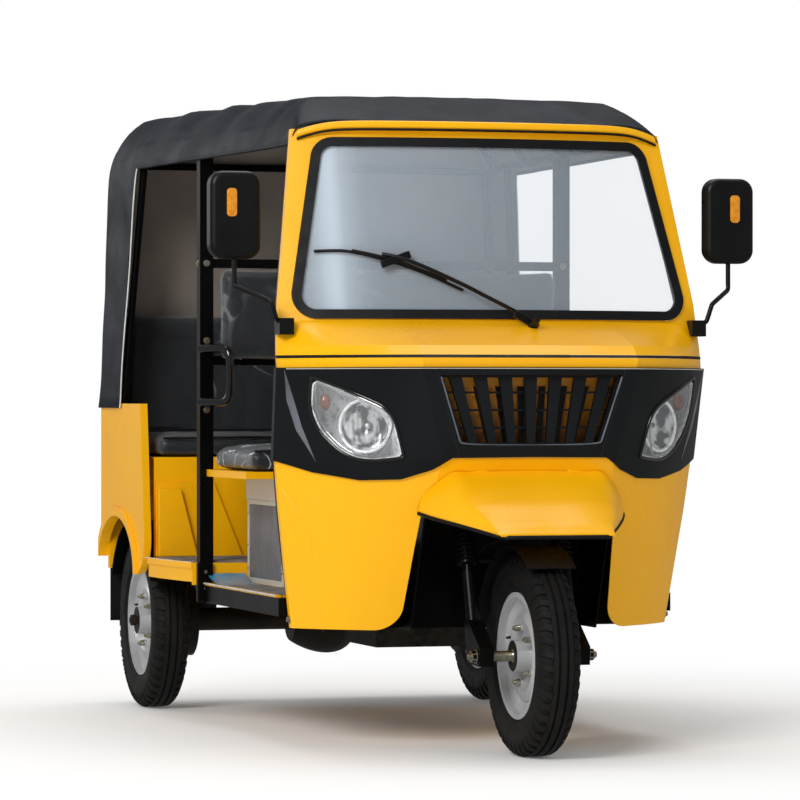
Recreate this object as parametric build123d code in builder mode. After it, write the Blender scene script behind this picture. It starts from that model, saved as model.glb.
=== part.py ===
"""Auto rickshaw: three wheels, open cab, soft canopy.

Millimetres. +Z is up, forward is -Y and the driver's right is -X. The origin is on the ground,
under the middle of the vehicle.
"""
import os
from math import cos, radians, sin, tan

from build123d import *

# ---------------------------------------------------------------- driving dimensions
# Wheels and steering
tyre_diameter = 530.0
tyre_width = 110.0
tyre_bead_diameter = 318.0
rim_width = 88.0
rim_flange_diameter = 334.0
rim_sheet = 5.0
front_axle_y = -1035.0
wheelbase = 2035.0
rear_track = 1078.0
rake_angle = 17.0
fork_setback = 69.0
fork_half_width = 133.0
fork_leg_diameter = 40.0
fork_tube_diameter = 28.0
axle_diameter = 18.0
running_clearance = 0.08
steering_lock = 40.0

# Body
sheet = 4.0
seat_gap = 0.3
floor_z = 402.0
floor_sheet = 6.0
step_z = 465.0
step_front_y = 285.0
sill_height = 50.0
sill_width = 30.0
frame_bottom_z = 306.0
post_size = 40.0
pillar_size = 30.0
b_post_x = 545.0
b_post_y = 330.0
post_top_z = 1651.0
body_half_width = 640.0
body_rear_y = 1288.0
body_bottom_z = 414.0
body_top_z = 925.0
side_wall = 22.0
arch_half_length = 242.0
arch_height = 168.0
arch_lip = 26.0

# Seats
driver_seat_z = 735.0
driver_seat_front_y = -144.0
driver_seat_half_width = 545.0
cushion_thickness = 64.0
rear_seat_z = 765.0
rear_seat_front_y = 742.0
rear_seat_back_y = 1178.0
rear_seat_half_width = 600.0
back_thickness = 80.0
rear_back_height = 370.0

# Canopy
canopy_cloth = 5.0
bow_diameter = 22.0

# Driving values worked out from the ones above
axle_z = tyre_diameter / 2
rear_axle_y = front_axle_y + wheelbase
rear_wheel_x = rear_track / 2
rake = radians(rake_angle)
fork_y_at_axle = front_axle_y + fork_setback
steer_axis = Vector(0, sin(rake), cos(rake))
floor_top_z = floor_z + floor_sheet
sill_x = b_post_x + 5

os.makedirs("parts", exist_ok=True)


def save(builder, name):
    """Label a finished part and write it as one STEP file."""
    builder.part.label = name
    export_step(builder.part, f"parts/{name}.step")


def on_steering_axis(z, forward=0.0, side=0.0):
    """A point level with height z on the steering axis, moved forward at right angles to it."""
    y = fork_y_at_axle + (z - axle_z) * tan(rake)
    return Vector(side, y - forward * cos(rake), z + forward * sin(rake))


def block(low, high):
    """A box between two corners."""
    with BuildPart() as piece:
        with Locations([(Vector(low) + Vector(high)) * 0.5]):
            Box(high[0] - low[0], high[1] - low[1], high[2] - low[2])
    return piece.part


def rod(start, end, width, bore=0.0):
    """A round rod or tube between two points."""
    run = Vector(end) - Vector(start)
    with BuildPart() as piece:
        with BuildSketch(Plane(Vector(start), z_dir=run)):
            Circle(width / 2)
            if bore:
                Circle(bore / 2, mode=Mode.SUBTRACT)
        extrude(amount=run.length)
    return piece.part


def bent_tube(points, bend, width):
    """A round tube along straight runs joined by bends."""
    with BuildPart() as piece:
        with BuildLine() as path:
            FilletPolyline(*points, radius=bend)
        with BuildSketch(Plane(path.line @ 0, z_dir=path.line % 0)):
            Circle(width / 2)
        sweep(path=path.line)
    return piece.part


# ---------------------------------------------------------------- front shell
# Columns: height z, nose corner x and y, outer corner x and y, bulge of the facet between them,
# bulge of the front face. Between rows the shell is straight.
front_stations = [
    (322.0, 274.0, -800.0, 534.0, -588.0, 18.0, 8.0),
    (543.0, 264.0, -888.0, 564.0, -614.0, 26.0, 10.0),
    (640.0, 258.0, -932.0, 577.0, -626.0, 30.0, 12.0),
    (780.0, 236.0, -1010.0, 592.0, -641.0, 32.0, 14.0),
    (1020.0, 295.0, -1026.0, 599.0, -700.0, 32.0, 14.0),
    (1047.0, 297.0, -1030.0, 600.0, -692.0, 32.0, 14.0),
    (1080.0, 299.0, -985.0, 599.0, -686.0, 24.0, 16.0),
    (1148.0, 299.0, -758.0, 594.0, -672.0, 6.0, 23.0),
    (1200.0, 299.0, -743.0, 590.0, -664.0, 5.0, 23.0),
    (1696.0, 299.0, -602.0, 521.0, -546.0, 4.0, 26.0),
]
shell_bottom_z = front_stations[0][0]
nose_top_z = 1047.0
visor_bottom_z = 1668.0
visor_top_z = 1690.0
shell_return = 22.0
shell_back_y = -400.0
through_depth = 900.0


def front_station(z):
    """The front shell's row at height z, interpolated."""
    for low, high in zip(front_stations, front_stations[1:]):
        if low[0] <= z <= high[0]:
            share = (z - low[0]) / (high[0] - low[0])
            return tuple(a + share * (b - a) for a, b in zip(low, high))
    raise ValueError(z)


def front_outline(row, grow):
    """Draw one closed section of the front shell, grown outwards by grow."""
    z, nose_x, nose_y, outer_x, outer_y, side_bulge, front_bulge = row
    run = Vector(outer_x - nose_x, outer_y - nose_y).normalized()
    normal = Vector(run.Y, -run.X)
    nose_miter = (normal + Vector(0, -1)) * (grow / (1 - normal.Y))
    outer_miter = (normal + Vector(1, 0)) * (grow / (1 + normal.X))
    nose = Vector(nose_x, nose_y) + nose_miter
    outer = Vector(outer_x, outer_y) + outer_miter
    middle = (nose + outer) * 0.5 + normal * side_bulge
    tip = Vector(0, nose.Y - front_bulge)
    back = Vector(outer.X, shell_back_y)

    def left(point):
        return (-point.X, point.Y)

    ThreePointArc(left(nose), (0, tip.Y), (nose.X, nose.Y))
    ThreePointArc((nose.X, nose.Y), (middle.X, middle.Y), (outer.X, outer.Y))
    Line((outer.X, outer.Y), (back.X, back.Y))
    Line((back.X, back.Y), left(back))
    Line(left(back), left(outer))
    ThreePointArc(left(outer), left(middle), left(nose))


def front_solid(grow, z_low, z_high):
    """The space inside the front shell, grown by grow, between two heights."""
    rows = [front_station(z_low)]
    rows += [row for row in front_stations if z_low < row[0] < z_high]
    rows.append(front_station(z_high))
    with BuildPart() as solid:
        for row in rows:
            with BuildSketch(Plane.XY.offset(row[0])):
                with BuildLine():
                    front_outline(row, grow)
                make_face()
        loft(ruled=True)
    return solid.part


def front_shell(outer_grow, inner_grow, z_low, z_high):
    """A wall that follows the front shell between two offsets from it."""
    slack = 1.0
    low = max(z_low - slack, shell_bottom_z)
    high = min(z_high + slack, front_stations[-1][0])
    with BuildPart() as wall:
        add(front_solid(outer_grow, z_low, z_high))
        inner = front_solid(inner_grow, low, high)
        add(inner, mode=Mode.SUBTRACT)
    return wall.part


def pillar_line(set_back):
    """The front shell's rear edge as (y, z) points, moved back by set_back."""
    return [(row[4] + shell_return + set_back, row[0]) for row in front_stations]


def behind_pillar(set_back):
    """Everything behind the front shell's rear edge, for cutting panels."""
    edge = pillar_line(set_back)
    first, last = edge[0], edge[-1]
    points = [(0, first[1] - 50), (first[0], first[1] - 50)] + edge
    points += [(last[0], last[1] + 50), (0, last[1] + 50)]
    with BuildPart() as cutter:
        with BuildSketch(Plane.YZ):
            with BuildLine():
                Polyline(*points, close=True)
            make_face()
        extrude(amount=800, both=True)
    return cutter.part


rear_of_pillar = behind_pillar(0)

# Headlamp outline on the driver's left, seen from the front: (x, z) from the outer tip round
lamp_outline = [
    (536.0, 996.0), (435.0, 945.0), (383.0, 918.0), (358.0, 888.0), (330.0, 787.0),
    (392.0, 779.0), (432.0, 783.0), (470.0, 806.0), (512.0, 856.0), (534.0, 914.0),
]
lamp_round = 14.0
lamp_clear = 3.0


def lamp_prism(grow, side):
    """The headlamp's outline, grown by grow and carried through the shell."""
    with BuildPart() as prism:
        with BuildSketch(Plane.XZ.offset(-shell_back_y)):
            with BuildLine():
                Polyline(*[(side * x, z) for x, z in lamp_outline], close=True)
            make_face()
            fillet(vertices(), lamp_round)
            if grow:
                offset(amount=grow)
        extrude(amount=through_depth)
    return prism.part


# Grille opening, seen from the front
grille_top_z = 1002.0
grille_bottom_z = 817.0
grille_top_half = 250.0
grille_bottom_half = 191.0
grille_depth = 46.0
pan_wall = 10.0
pan_sheet = 4.0
mask_proud = 8.0
mask_low_z = 715.0
mask_top_z = 1022.0
slat_count = 7
grille_bar_count = 3


def grille_outline(grow):
    """Draw the grille opening's outline grown by grow."""
    slope = (grille_top_half - grille_bottom_half) / (grille_top_z - grille_bottom_z)
    low = grille_bottom_z - grow
    high = grille_top_z + grow
    low_half = grille_bottom_half - slope * grow + grow
    high_half = grille_top_half + slope * grow + grow
    Polyline((-low_half, low), (low_half, low), (high_half, high), (-high_half, high), close=True)


def grille_prism(grow, y_front=-1200, y_back=-700):
    """The grille opening's outline carried through the nose."""
    with BuildPart() as prism:
        with BuildSketch(Plane.XZ.offset(-y_back)):
            with BuildLine():
                grille_outline(grow)
            make_face()
        extrude(amount=y_back - y_front)
    return prism.part


# Wheel opening in the lower nose
opening_half_top = 266.0
opening_half_bottom = 292.0
opening_top_z = 700.0
opening_round = 60.0
round_mid = 1 - cos(radians(45))

with BuildPart() as nose_panel:
    add(front_shell(0, -sheet, shell_bottom_z, nose_top_z))
    add(rear_of_pillar, mode=Mode.SUBTRACT)
    # Wheel opening, widening to the bottom, where it rounds off the panels' corners
    slope = (opening_half_bottom - opening_half_top) / (opening_top_z - shell_bottom_z)
    corner_low = (opening_half_bottom + opening_round, shell_bottom_z)
    corner_mid = (opening_half_bottom + opening_round * round_mid, shell_bottom_z + opening_round * round_mid)
    corner_high = (opening_half_bottom - slope * opening_round, shell_bottom_z + opening_round)
    with BuildSketch(Plane.XZ.offset(-shell_back_y)):
        for side in (-1, 1):
            with BuildLine():
                Polyline(
                    (side * corner_high[0], corner_high[1]), (side * opening_half_top, opening_top_z),
                    (0, opening_top_z), (0, shell_bottom_z - 1), (side * corner_low[0], shell_bottom_z - 1),
                    (side * corner_low[0], shell_bottom_z),
                )
                ThreePointArc(
                    (side * corner_low[0], corner_low[1]), (side * corner_mid[0], corner_mid[1]),
                    (side * corner_high[0], corner_high[1]),
                )
            make_face()
    extrude(amount=through_depth, mode=Mode.SUBTRACT)
    add(grille_prism(pan_wall), mode=Mode.SUBTRACT)
    for side in (-1, 1):
        add(lamp_prism(lamp_clear, side), mode=Mode.SUBTRACT)
save(nose_panel, "nose_panel")

# Pan behind the grille, open to the front
pan_low_z = grille_bottom_z - 27
pan_high_z = grille_top_z + 28
with BuildPart() as pan_space:
    add(grille_prism(pan_wall - pan_sheet))
    add(front_shell(5, pan_sheet - grille_depth, pan_low_z, pan_high_z), mode=Mode.INTERSECT)
with BuildPart() as grille_pan:
    add(grille_prism(pan_wall - seat_gap))
    add(front_shell(0, -grille_depth, pan_low_z, pan_high_z), mode=Mode.INTERSECT)
    add(pan_space.part, mode=Mode.SUBTRACT)
save(grille_pan, "grille_pan")


# Dark mask across the nose, with the lamps and the grille set into it
mask_outline = [
    (0.0, 786.0), (214.0, 784.0), (262.0, 752.0), (330.0, 727.0), (420.0, 724.0),
    (520.0, 744.0), (640.0, 790.0), (640.0, mask_top_z), (0.0, mask_top_z),
]
with BuildPart() as mask_prism:
    with BuildSketch(Plane.XZ.offset(-shell_back_y)):
        with BuildLine():
            Polyline(*mask_outline, close=True)
        make_face()
        mirror(about=Plane.YZ)
    extrude(amount=through_depth)
with BuildPart() as front_mask:
    add(front_shell(mask_proud, seat_gap, mask_low_z, mask_top_z))
    add(mask_prism.part, mode=Mode.INTERSECT)
    add(rear_of_pillar, mode=Mode.SUBTRACT)
    add(grille_prism(0), mode=Mode.SUBTRACT)
    for side in (-1, 1):
        add(lamp_prism(1, side), mode=Mode.SUBTRACT)
save(front_mask, "front_mask")

# Grille: tapering slats that lean outwards, in front of thin bars, in a narrow frame
slat_top_width = 34.0
slat_bottom_width = 22.0
grille_front_y = -1026.0
slat_depth = 14.0
grille_bar_height = 6.0
grille_bar_depth = 8.0
grille_frame_width = 7.0
grille_pitch = 2 * (grille_top_half - grille_frame_width) / slat_count
grille_step = (grille_top_z - grille_bottom_z) / (grille_bar_count + 1)
grille_narrowing = grille_bottom_half / grille_top_half
with BuildPart() as grille:
    # Frame round the opening
    with BuildSketch(Plane.XZ.offset(-grille_front_y - slat_depth - grille_bar_depth)):
        with BuildLine():
            grille_outline(-seat_gap)
        make_face()
        with BuildLine():
            grille_outline(-grille_frame_width)
        make_face(mode=Mode.SUBTRACT)
    extrude(amount=slat_depth + grille_bar_depth)
    # Slats
    with BuildSketch(Plane.XZ.offset(-grille_front_y - slat_depth)):
        for index in range(slat_count):
            top_x = (index - (slat_count - 1) / 2) * grille_pitch
            bottom_x = top_x * grille_narrowing
            with BuildLine():
                Polyline(
                    (bottom_x - slat_bottom_width / 2, grille_bottom_z + 3),
                    (bottom_x + slat_bottom_width / 2, grille_bottom_z + 3),
                    (top_x + slat_top_width / 2, grille_top_z - 3),
                    (top_x - slat_top_width / 2, grille_top_z - 3),
                    close=True,
                )
            make_face()
    extrude(amount=slat_depth)
    # Bars behind the slats
    with BuildSketch(Plane.XZ.offset(-grille_front_y - slat_depth - grille_bar_depth)):
        for index in range(grille_bar_count):
            bar_z = grille_bottom_z + (index + 1) * grille_step
            share = (bar_z - grille_bottom_z) / (grille_top_z - grille_bottom_z)
            half = grille_bottom_half + share * (grille_top_half - grille_bottom_half)
            with Locations((0, bar_z)):
                Rectangle(2 * (half - 4), grille_bar_height)
    extrude(amount=grille_bar_depth)
save(grille, "grille")

# Headlamps: a bucket behind the shell and a lens that follows it
lamp_low_z = 760.0
lamp_high_z = 1015.0
lamp_depth = 90.0
bucket_wall = 3.0
lens_thickness = 4.0
lens_proud = 12.0


def lamp_body(outer_grow, inner_grow, outline_grow):
    """Both headlamps' share of the wall between two offsets of the front shell."""
    with BuildPart() as body:
        add(front_shell(outer_grow, inner_grow, lamp_low_z, lamp_high_z))
        both = lamp_prism(outline_grow, -1) + lamp_prism(outline_grow, 1)
        add(both, mode=Mode.INTERSECT)
    return body.part


with BuildPart() as headlamp_lenses:
    add(lamp_body(lens_proud, lens_proud - lens_thickness, -bucket_wall - seat_gap))
save(headlamp_lenses, "headlamp_lenses")
with BuildPart() as lamp_space:
    add(lamp_body(lens_proud + lens_thickness, bucket_wall - lamp_depth, -bucket_wall))
    add(behind_pillar(-bucket_wall), mode=Mode.SUBTRACT)
with BuildPart() as headlamp_buckets:
    add(lamp_body(lens_proud - lens_thickness - seat_gap, -lamp_depth, 0))
    add(lamp_space.part, mode=Mode.SUBTRACT)
    add(rear_of_pillar, mode=Mode.SUBTRACT)
save(headlamp_buckets, "headlamp_buckets")

# ---------------------------------------------------------------- upper cowl and windscreen
screen_top_z = 1646.0
screen_bottom_z = 1153.0
screen_top_half = 470.0
screen_bottom_half = 570.0
screen_round = 62.0
gasket_width = 25.0
seam_gap = 8.0


def screen_prism(inset):
    """The windscreen opening's outline, drawn in by inset and carried through the shell."""
    slope = (screen_bottom_half - screen_top_half) / (screen_top_z - screen_bottom_z)
    low = screen_bottom_z + inset
    high = screen_top_z - inset
    low_half = screen_bottom_half - slope * inset - inset
    high_half = screen_top_half + slope * inset - inset
    with BuildPart() as prism:
        with BuildSketch(Plane.XZ.offset(-shell_back_y)):
            with BuildLine():
                Polyline(
                    (-low_half, low), (low_half, low), (high_half, high), (-high_half, high), close=True
                )
            make_face()
            fillet(vertices(), screen_round - inset)
        extrude(amount=through_depth)
    return prism.part


with BuildPart() as cowl_panel:
    add(front_shell(0, -sheet, nose_top_z + seam_gap, visor_bottom_z))
    add(rear_of_pillar, mode=Mode.SUBTRACT)
    add(screen_prism(0), mode=Mode.SUBTRACT)
save(cowl_panel, "cowl_panel")

with BuildPart() as cowl_seal:
    add(front_shell(1, -sheet - 4, nose_top_z + seat_gap, nose_top_z + seam_gap - seat_gap))
    add(rear_of_pillar, mode=Mode.SUBTRACT)
save(cowl_seal, "cowl_seal")

with BuildPart() as windscreen_gasket:
    add(front_shell(7, -13, screen_bottom_z - 20, screen_top_z + 20))
    add(screen_prism(seat_gap), mode=Mode.INTERSECT)
    add(screen_prism(gasket_width), mode=Mode.SUBTRACT)
save(windscreen_gasket, "windscreen_gasket")

with BuildPart() as windscreen_glass:
    add(front_shell(-2, -7, screen_bottom_z, screen_top_z))
    add(screen_prism(gasket_width + seat_gap), mode=Mode.INTERSECT)
save(windscreen_glass, "windscreen_glass")

with BuildPart() as roof_visor:
    add(front_shell(26, -34, visor_bottom_z + seat_gap, visor_top_z))
    add(rear_of_pillar, mode=Mode.SUBTRACT)
save(roof_visor, "roof_visor")

# Wiper: pivot below the screen, arm and a long blade across the glass
wiper_pivot = (70.0, 1136.0)
wiper_elbow = (-170.0, 1215.0)
blade_low = (-75.0, 1172.0)
blade_middle = (-250.0, 1221.0)
blade_high = (-430.0, 1236.0)
blade_lift = 19.0
blade_width = 12.0
arm_width = 11.0
arm_lift = 40.0
pivot_width = 24.0
pivot_height = 44.0
foot_clear = 0.9


def on_screen(x, z, lift):
    """The point of the outside of the screen at x and z, lifted forwards."""
    row = front_station(z)
    half = row[3]
    rise = row[4] - (row[2] - row[6])
    return Vector(x, row[4] - rise * (1 - (x / half) ** 2) - lift, z)


def on_shelf(x, z):
    """The point of the sloping shelf below the screen at x and z."""
    row = front_station(z)
    return Vector(x, row[2] - row[6] * (1 - (x / row[1]) ** 2), z)


with BuildPart() as wiper:
    pivot_foot = on_shelf(*wiper_pivot)
    shelf_low = on_shelf(wiper_pivot[0], wiper_pivot[1] - 36)
    shelf_run = pivot_foot - shelf_low
    shelf_normal = Vector(0, -shelf_run.Z, shelf_run.Y).normalized()
    pivot_top = pivot_foot + shelf_normal * pivot_height
    add(rod(pivot_foot + shelf_normal * foot_clear, pivot_top, pivot_width))
    add(rod(pivot_top - shelf_normal * arm_width / 2, on_screen(*wiper_elbow, arm_lift), arm_width))
    add(rod(on_screen(*blade_low, blade_lift), on_screen(*blade_middle, blade_lift), blade_width))
    add(rod(on_screen(*blade_middle, blade_lift), on_screen(*blade_high, blade_lift), blade_width))
    # Clip from the blade up to the arm
    clip_foot = on_screen(wiper_elbow[0], wiper_elbow[1] - 6, blade_lift - 2)
    add(rod(clip_foot, on_screen(*wiper_elbow, arm_lift + 4), blade_width + 2))
save(wiper, "wiper")

# ---------------------------------------------------------------- front mudguard of the body
# Columns: y, half width at the lower edge, its z, half width at the shoulder, its z, crown z
hood_stations = [
    (-935.0, 285.0, 640.0, 216.0, 742.0, 757.0),
    (-1010.0, 262.0, 627.0, 206.0, 735.0, 748.0),
    (-1130.0, 206.0, 606.0, 176.0, 668.0, 676.0),
    (-1242.0, 147.0, 584.0, 140.0, 598.0, 602.0),
]


def hood_space(inset, drop):
    """The front hood's outer form, drawn in by inset and lowered by drop at its open side."""
    with BuildPart() as space:
        for y, low_x, low_z, top_x, top_z, crown in hood_stations:
            with BuildSketch(Plane.XZ.offset(-y)):
                with BuildLine():
                    left_low = (inset - low_x, low_z - drop)
                    right_low = (low_x - inset, low_z - drop)
                    left_top = (inset - top_x, top_z - inset)
                    right_top = (top_x - inset, top_z - inset)
                    left_mid = (-(low_x + top_x) / 2 + inset - 8, (low_z + top_z) / 2 + 12 - inset / 2)
                    right_mid = (-left_mid[0], left_mid[1])
                    Line(left_low, right_low)
                    ThreePointArc(right_low, right_mid, right_top)
                    ThreePointArc(right_top, (0, crown - inset), left_top)
                    ThreePointArc(left_top, left_mid, left_low)
                make_face()
        loft(ruled=True)
    return space.part


nose_keep_out = front_solid(seat_gap, shell_bottom_z, nose_top_z)
with BuildPart() as front_hood:
    add(hood_space(0, 0))
    add(hood_space(sheet, 12), mode=Mode.SUBTRACT)
    add(nose_keep_out, mode=Mode.SUBTRACT)
    add(front_mask.part, mode=Mode.SUBTRACT)
save(front_hood, "front_hood")


# ---------------------------------------------------------------- floor and frame
rail_half_gap = 300.0
rail_width = 50.0
rail_height = 60.0
rail_top_z = floor_z - seat_gap
rail_front_y = -640.0
rail_rear_y = 1285.0
arch_wall_y = -672.0
arch_wall_half = 262.0
arch_wall_top_z = 770.0
cross_depth = 40.0

engine_half_width = 150.0
engine_front_y = -90.0
engine_rear_y = 236.0
engine_low_z = 235.0
engine_high_z = 640.0
sill_front_y = -560.0
floor_front_y = arch_wall_y + seat_gap
step_half_front = 594.0
step_half_rear = 630.0
step_rear_y = rear_seat_front_y - seat_gap
step_bow = 9.0
floor_half = sill_x + 10
floor_wide_y = sill_front_y + 30
footwell_half = 480.0
engine_clear = 6.0


def step_outline(inset):
    """Draw the passenger floor's outline in plan, drawn in by inset at its two sides."""
    half_front = step_half_front - inset
    half_rear = step_half_rear - inset
    middle = ((half_front + half_rear) / 2 + step_bow, (step_front_y + step_rear_y) / 2)
    Line((-half_front, step_front_y), (half_front, step_front_y))
    ThreePointArc((half_front, step_front_y), middle, (half_rear, step_rear_y))
    Line((half_rear, step_rear_y), (-half_rear, step_rear_y))
    ThreePointArc((-half_rear, step_rear_y), (-middle[0], middle[1]), (-half_front, step_front_y))


post_clear = post_size + 2 * seat_gap
side_front_low_y = 686.0
side_inner_x = body_half_width - side_wall
nose_wall = front_shell(seat_gap, -sheet - seat_gap, floor_z - 22, floor_z + 28)
with BuildPart() as beside_builder:
    for side in (-1, 1):
        with Locations((side * (side_inner_x - seat_gap + 100), side_front_low_y - seat_gap + 100, step_z)):
            Box(200, 200, 400)
beside_body = beside_builder.part
with BuildPart() as floor_pan:
    # Driver's floor lies on the sills, a riser and the passenger's floor follow
    add(block((-floor_half, floor_wide_y, floor_z), (floor_half, step_front_y, floor_top_z)))
    add(block((-footwell_half, floor_front_y, floor_z), (footwell_half, floor_wide_y + 1, floor_top_z)))
    add(block(
        (-step_half_front, step_front_y, floor_z), (step_half_front, step_front_y + floor_sheet, step_z)
    ))
    with BuildSketch(Plane.XY.offset(step_z - floor_sheet)):
        with BuildLine():
            step_outline(0)
        make_face()
        with Locations((-b_post_x, b_post_y), (b_post_x, b_post_y)):
            Rectangle(post_clear, post_clear, mode=Mode.SUBTRACT)
    extrude(amount=floor_sheet)
    add(nose_wall, mode=Mode.SUBTRACT)
    add(block(
        (-engine_half_width - engine_clear, engine_front_y - engine_clear, floor_z - 1),
        (engine_half_width + engine_clear, engine_rear_y + engine_clear, floor_top_z + 1),
    ), mode=Mode.SUBTRACT)
    add(beside_body, mode=Mode.SUBTRACT)
save(floor_pan, "floor_pan")

# Curved side steps below the passenger's floor
skirt_bottom_z = 411.0
with BuildPart() as side_skirts:
    with BuildSketch(Plane.XY.offset(skirt_bottom_z)):
        with BuildLine():
            step_outline(0)
        make_face()
        with BuildLine():
            step_outline(sheet)
        make_face(mode=Mode.SUBTRACT)
        with Locations((0, (step_front_y + step_rear_y) / 2)):
            Rectangle(2 * (b_post_x - post_size), step_rear_y - step_front_y + 10, mode=Mode.SUBTRACT)
    extrude(amount=step_z - floor_sheet - seat_gap - skirt_bottom_z)
    riser_rear_y = step_front_y + floor_sheet + seat_gap
    add(block((-700, step_front_y - 1, skirt_bottom_z - 1), (700, riser_rear_y, step_z)), mode=Mode.SUBTRACT)
    add(beside_body, mode=Mode.SUBTRACT)
save(side_skirts, "side_skirts")

# Aluminium edges of both floors
trim_height = 15.0
trim_thickness = 4.0
trim_lip = 2.0
with BuildPart() as floor_trims:
    with BuildSketch(Plane.XY.offset(step_z - trim_height)):
        with BuildLine():
            step_outline(-trim_thickness)
        make_face()
        with BuildLine():
            step_outline(-seat_gap)
        make_face(mode=Mode.SUBTRACT)
    extrude(amount=trim_height + trim_lip)
    for side in (-1, 1):
        low_x, high_x = sorted((side * (floor_half + seat_gap), side * (floor_half + trim_thickness)))
        add(block(
            (low_x, floor_wide_y, floor_z + seat_gap), (high_x, step_front_y - 30, floor_top_z + trim_lip)
        ))
    add(beside_body, mode=Mode.SUBTRACT)
save(floor_trims, "floor_trims")

# Housing over the front wheel, open to the front and below
house_front_y = -1060.0
head_tube_diameter = 60.0
head_tube_bore = 40.0
head_low_z = 774.0
head_high_z = 900.0
stem_hole = 70.0
footwell_panel_half = 515.0
footwell_panel_top_z = 560.0
with BuildPart() as wheel_housing:
    outer = block((-arch_wall_half, house_front_y, frame_bottom_z), (arch_wall_half, arch_wall_y, arch_wall_top_z))
    inner = block(
        (sheet - arch_wall_half, house_front_y - 1, frame_bottom_z - 1),
        (arch_wall_half - sheet, arch_wall_y - sheet, arch_wall_top_z - sheet),
    )
    add(outer)
    add(inner, mode=Mode.SUBTRACT)
    # Panel that closes the front of the driver's footwell beside the wheel
    for side in (-1, 1):
        low_x, high_x = sorted((side * arch_wall_half, side * footwell_panel_half))
        add(block(
            (low_x, arch_wall_y - sheet, shell_bottom_z + 2), (high_x, arch_wall_y, footwell_panel_top_z)
        ))
    add(front_solid(-sheet - seat_gap, shell_bottom_z, nose_top_z), mode=Mode.INTERSECT)
    add(grille_prism(pan_wall + 2), mode=Mode.SUBTRACT)
    hole_low = on_steering_axis(arch_wall_top_z - 40)
    hole_high = on_steering_axis(arch_wall_top_z + 40)
    add(rod(hole_low, hole_high, stem_hole), mode=Mode.SUBTRACT)
save(wheel_housing, "wheel_housing")

# Side sills, pillars and the frame round the driver
pillar_path = [(row[3], row[4], row[0]) for row in front_stations if row[0] not in (1047.0, 1080.0)]
pillar_inset = 20.0
pillar_back = shell_return + pillar_size / 2 + 3
cross_bar = 26.0
cross_bar_heights = (1332.0, 1050.0)
pillar_overlap = 3.0
sill_proud = 12.0

with BuildPart() as door_frame:
    for side in (-1, 1):
        # Front pillar behind the shell's rear edge
        points = [
            Vector(side * (x - pillar_inset), y + pillar_back, z) for x, y, z in pillar_path
        ]
        points[0] = Vector(points[0].X, points[0].Y, floor_z - sill_height)
        points[-1] = Vector(points[-1].X, points[-1].Y, post_top_z - pillar_overlap)
        for start, end in zip(points, points[1:]):
            run = (end - start).normalized()
            with BuildSketch(Plane(start - run * pillar_overlap, x_dir=(1, 0, 0), z_dir=run)):
                Rectangle(pillar_size, pillar_size)
            extrude(amount=(end - start).length + 2 * pillar_overlap)
        # Rear post and sill
        low_x, high_x = sorted((side * (b_post_x - post_size / 2), side * (b_post_x + post_size / 2)))
        add(block(
            (low_x, b_post_y - post_size / 2, floor_z - sill_height),
            (high_x, b_post_y + post_size / 2, post_top_z),
        ))
        low_x, high_x = sorted((side * (sill_x - sill_width + sill_proud), side * (sill_x + sill_proud)))
        add(block((low_x, sill_front_y, floor_z - sill_height), (high_x, b_post_y, floor_z)))
    # Bars between the rear posts, behind the driver
    for height in cross_bar_heights:
        add(block(
            (-b_post_x, b_post_y - cross_bar / 2, height - cross_bar / 2),
            (b_post_x, b_post_y + cross_bar / 2, height + cross_bar / 2),
        ))
save(door_frame, "door_frame")

# Chassis: two long rails, cross members and the neck that holds the steering
neck_tube = 34.0
member_height = 50.0
bracket_half = 20.0
bracket_height = 25.0
bracket_drop = 30.0
bracket_set = 60.0
# Columns: y, half length
cross_members = [(-620.0, 440.0), (-180.0, 531.0), (264.0, 531.0), (700.0, 340.0), (1265.0, 340.0)]
with BuildPart() as chassis:
    for side in (-1, 1):
        low_x, high_x = sorted((side * rail_half_gap, side * (rail_half_gap + rail_width)))
        add(block((low_x, rail_front_y, rail_top_z - rail_height), (high_x, rail_rear_y, rail_top_z)))
    for y, reach in cross_members:
        add(block(
            (-reach, y - cross_depth / 2, rail_top_z - member_height),
            (reach, y + cross_depth / 2, rail_top_z),
        ))
    # Brackets that carry the engine
    for side in (-1, 1):
        for y in (engine_front_y + bracket_set, engine_rear_y - bracket_set):
            low_x, high_x = sorted((side * (engine_half_width + seat_gap), side * (rail_half_gap + 5)))
            add(block(
                (low_x, y - bracket_half, rail_top_z - bracket_drop - bracket_height),
                (high_x, y + bracket_half, rail_top_z - bracket_drop),
            ))
save(chassis, "chassis")

# ---------------------------------------------------------------- wheels
with BuildPart() as tyre_shape:
    half = tyre_width / 2
    outer = tyre_diameter / 2
    bead = tyre_bead_diameter / 2
    bead_half = rim_width / 2 - rim_sheet - seat_gap
    flange_top = rim_flange_diameter / 2 + 1.5
    with BuildSketch(Plane.XZ):
        with BuildLine():
            Polyline(
                (-bead_half, bead), (-bead_half, flange_top), (-half * 0.86, bead + 16)
            )
            ThreePointArc((-half * 0.86, bead + 16), (-half, bead + 48), (-half * 0.9, outer - 22))
            ThreePointArc((-half * 0.9, outer - 22), (-half * 0.74, outer - 7), (-half * 0.5, outer - 2))
            ThreePointArc((-half * 0.5, outer - 2), (0, outer), (half * 0.5, outer - 2))
            ThreePointArc((half * 0.5, outer - 2), (half * 0.74, outer - 7), (half * 0.9, outer - 22))
            ThreePointArc((half * 0.9, outer - 22), (half, bead + 48), (half * 0.86, bead + 16))
            Polyline((half * 0.86, bead + 16), (bead_half, flange_top), (bead_half, bead))
            Line((bead_half, bead), (-bead_half, bead))
        make_face()
    revolve(axis=Axis.X)

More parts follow.
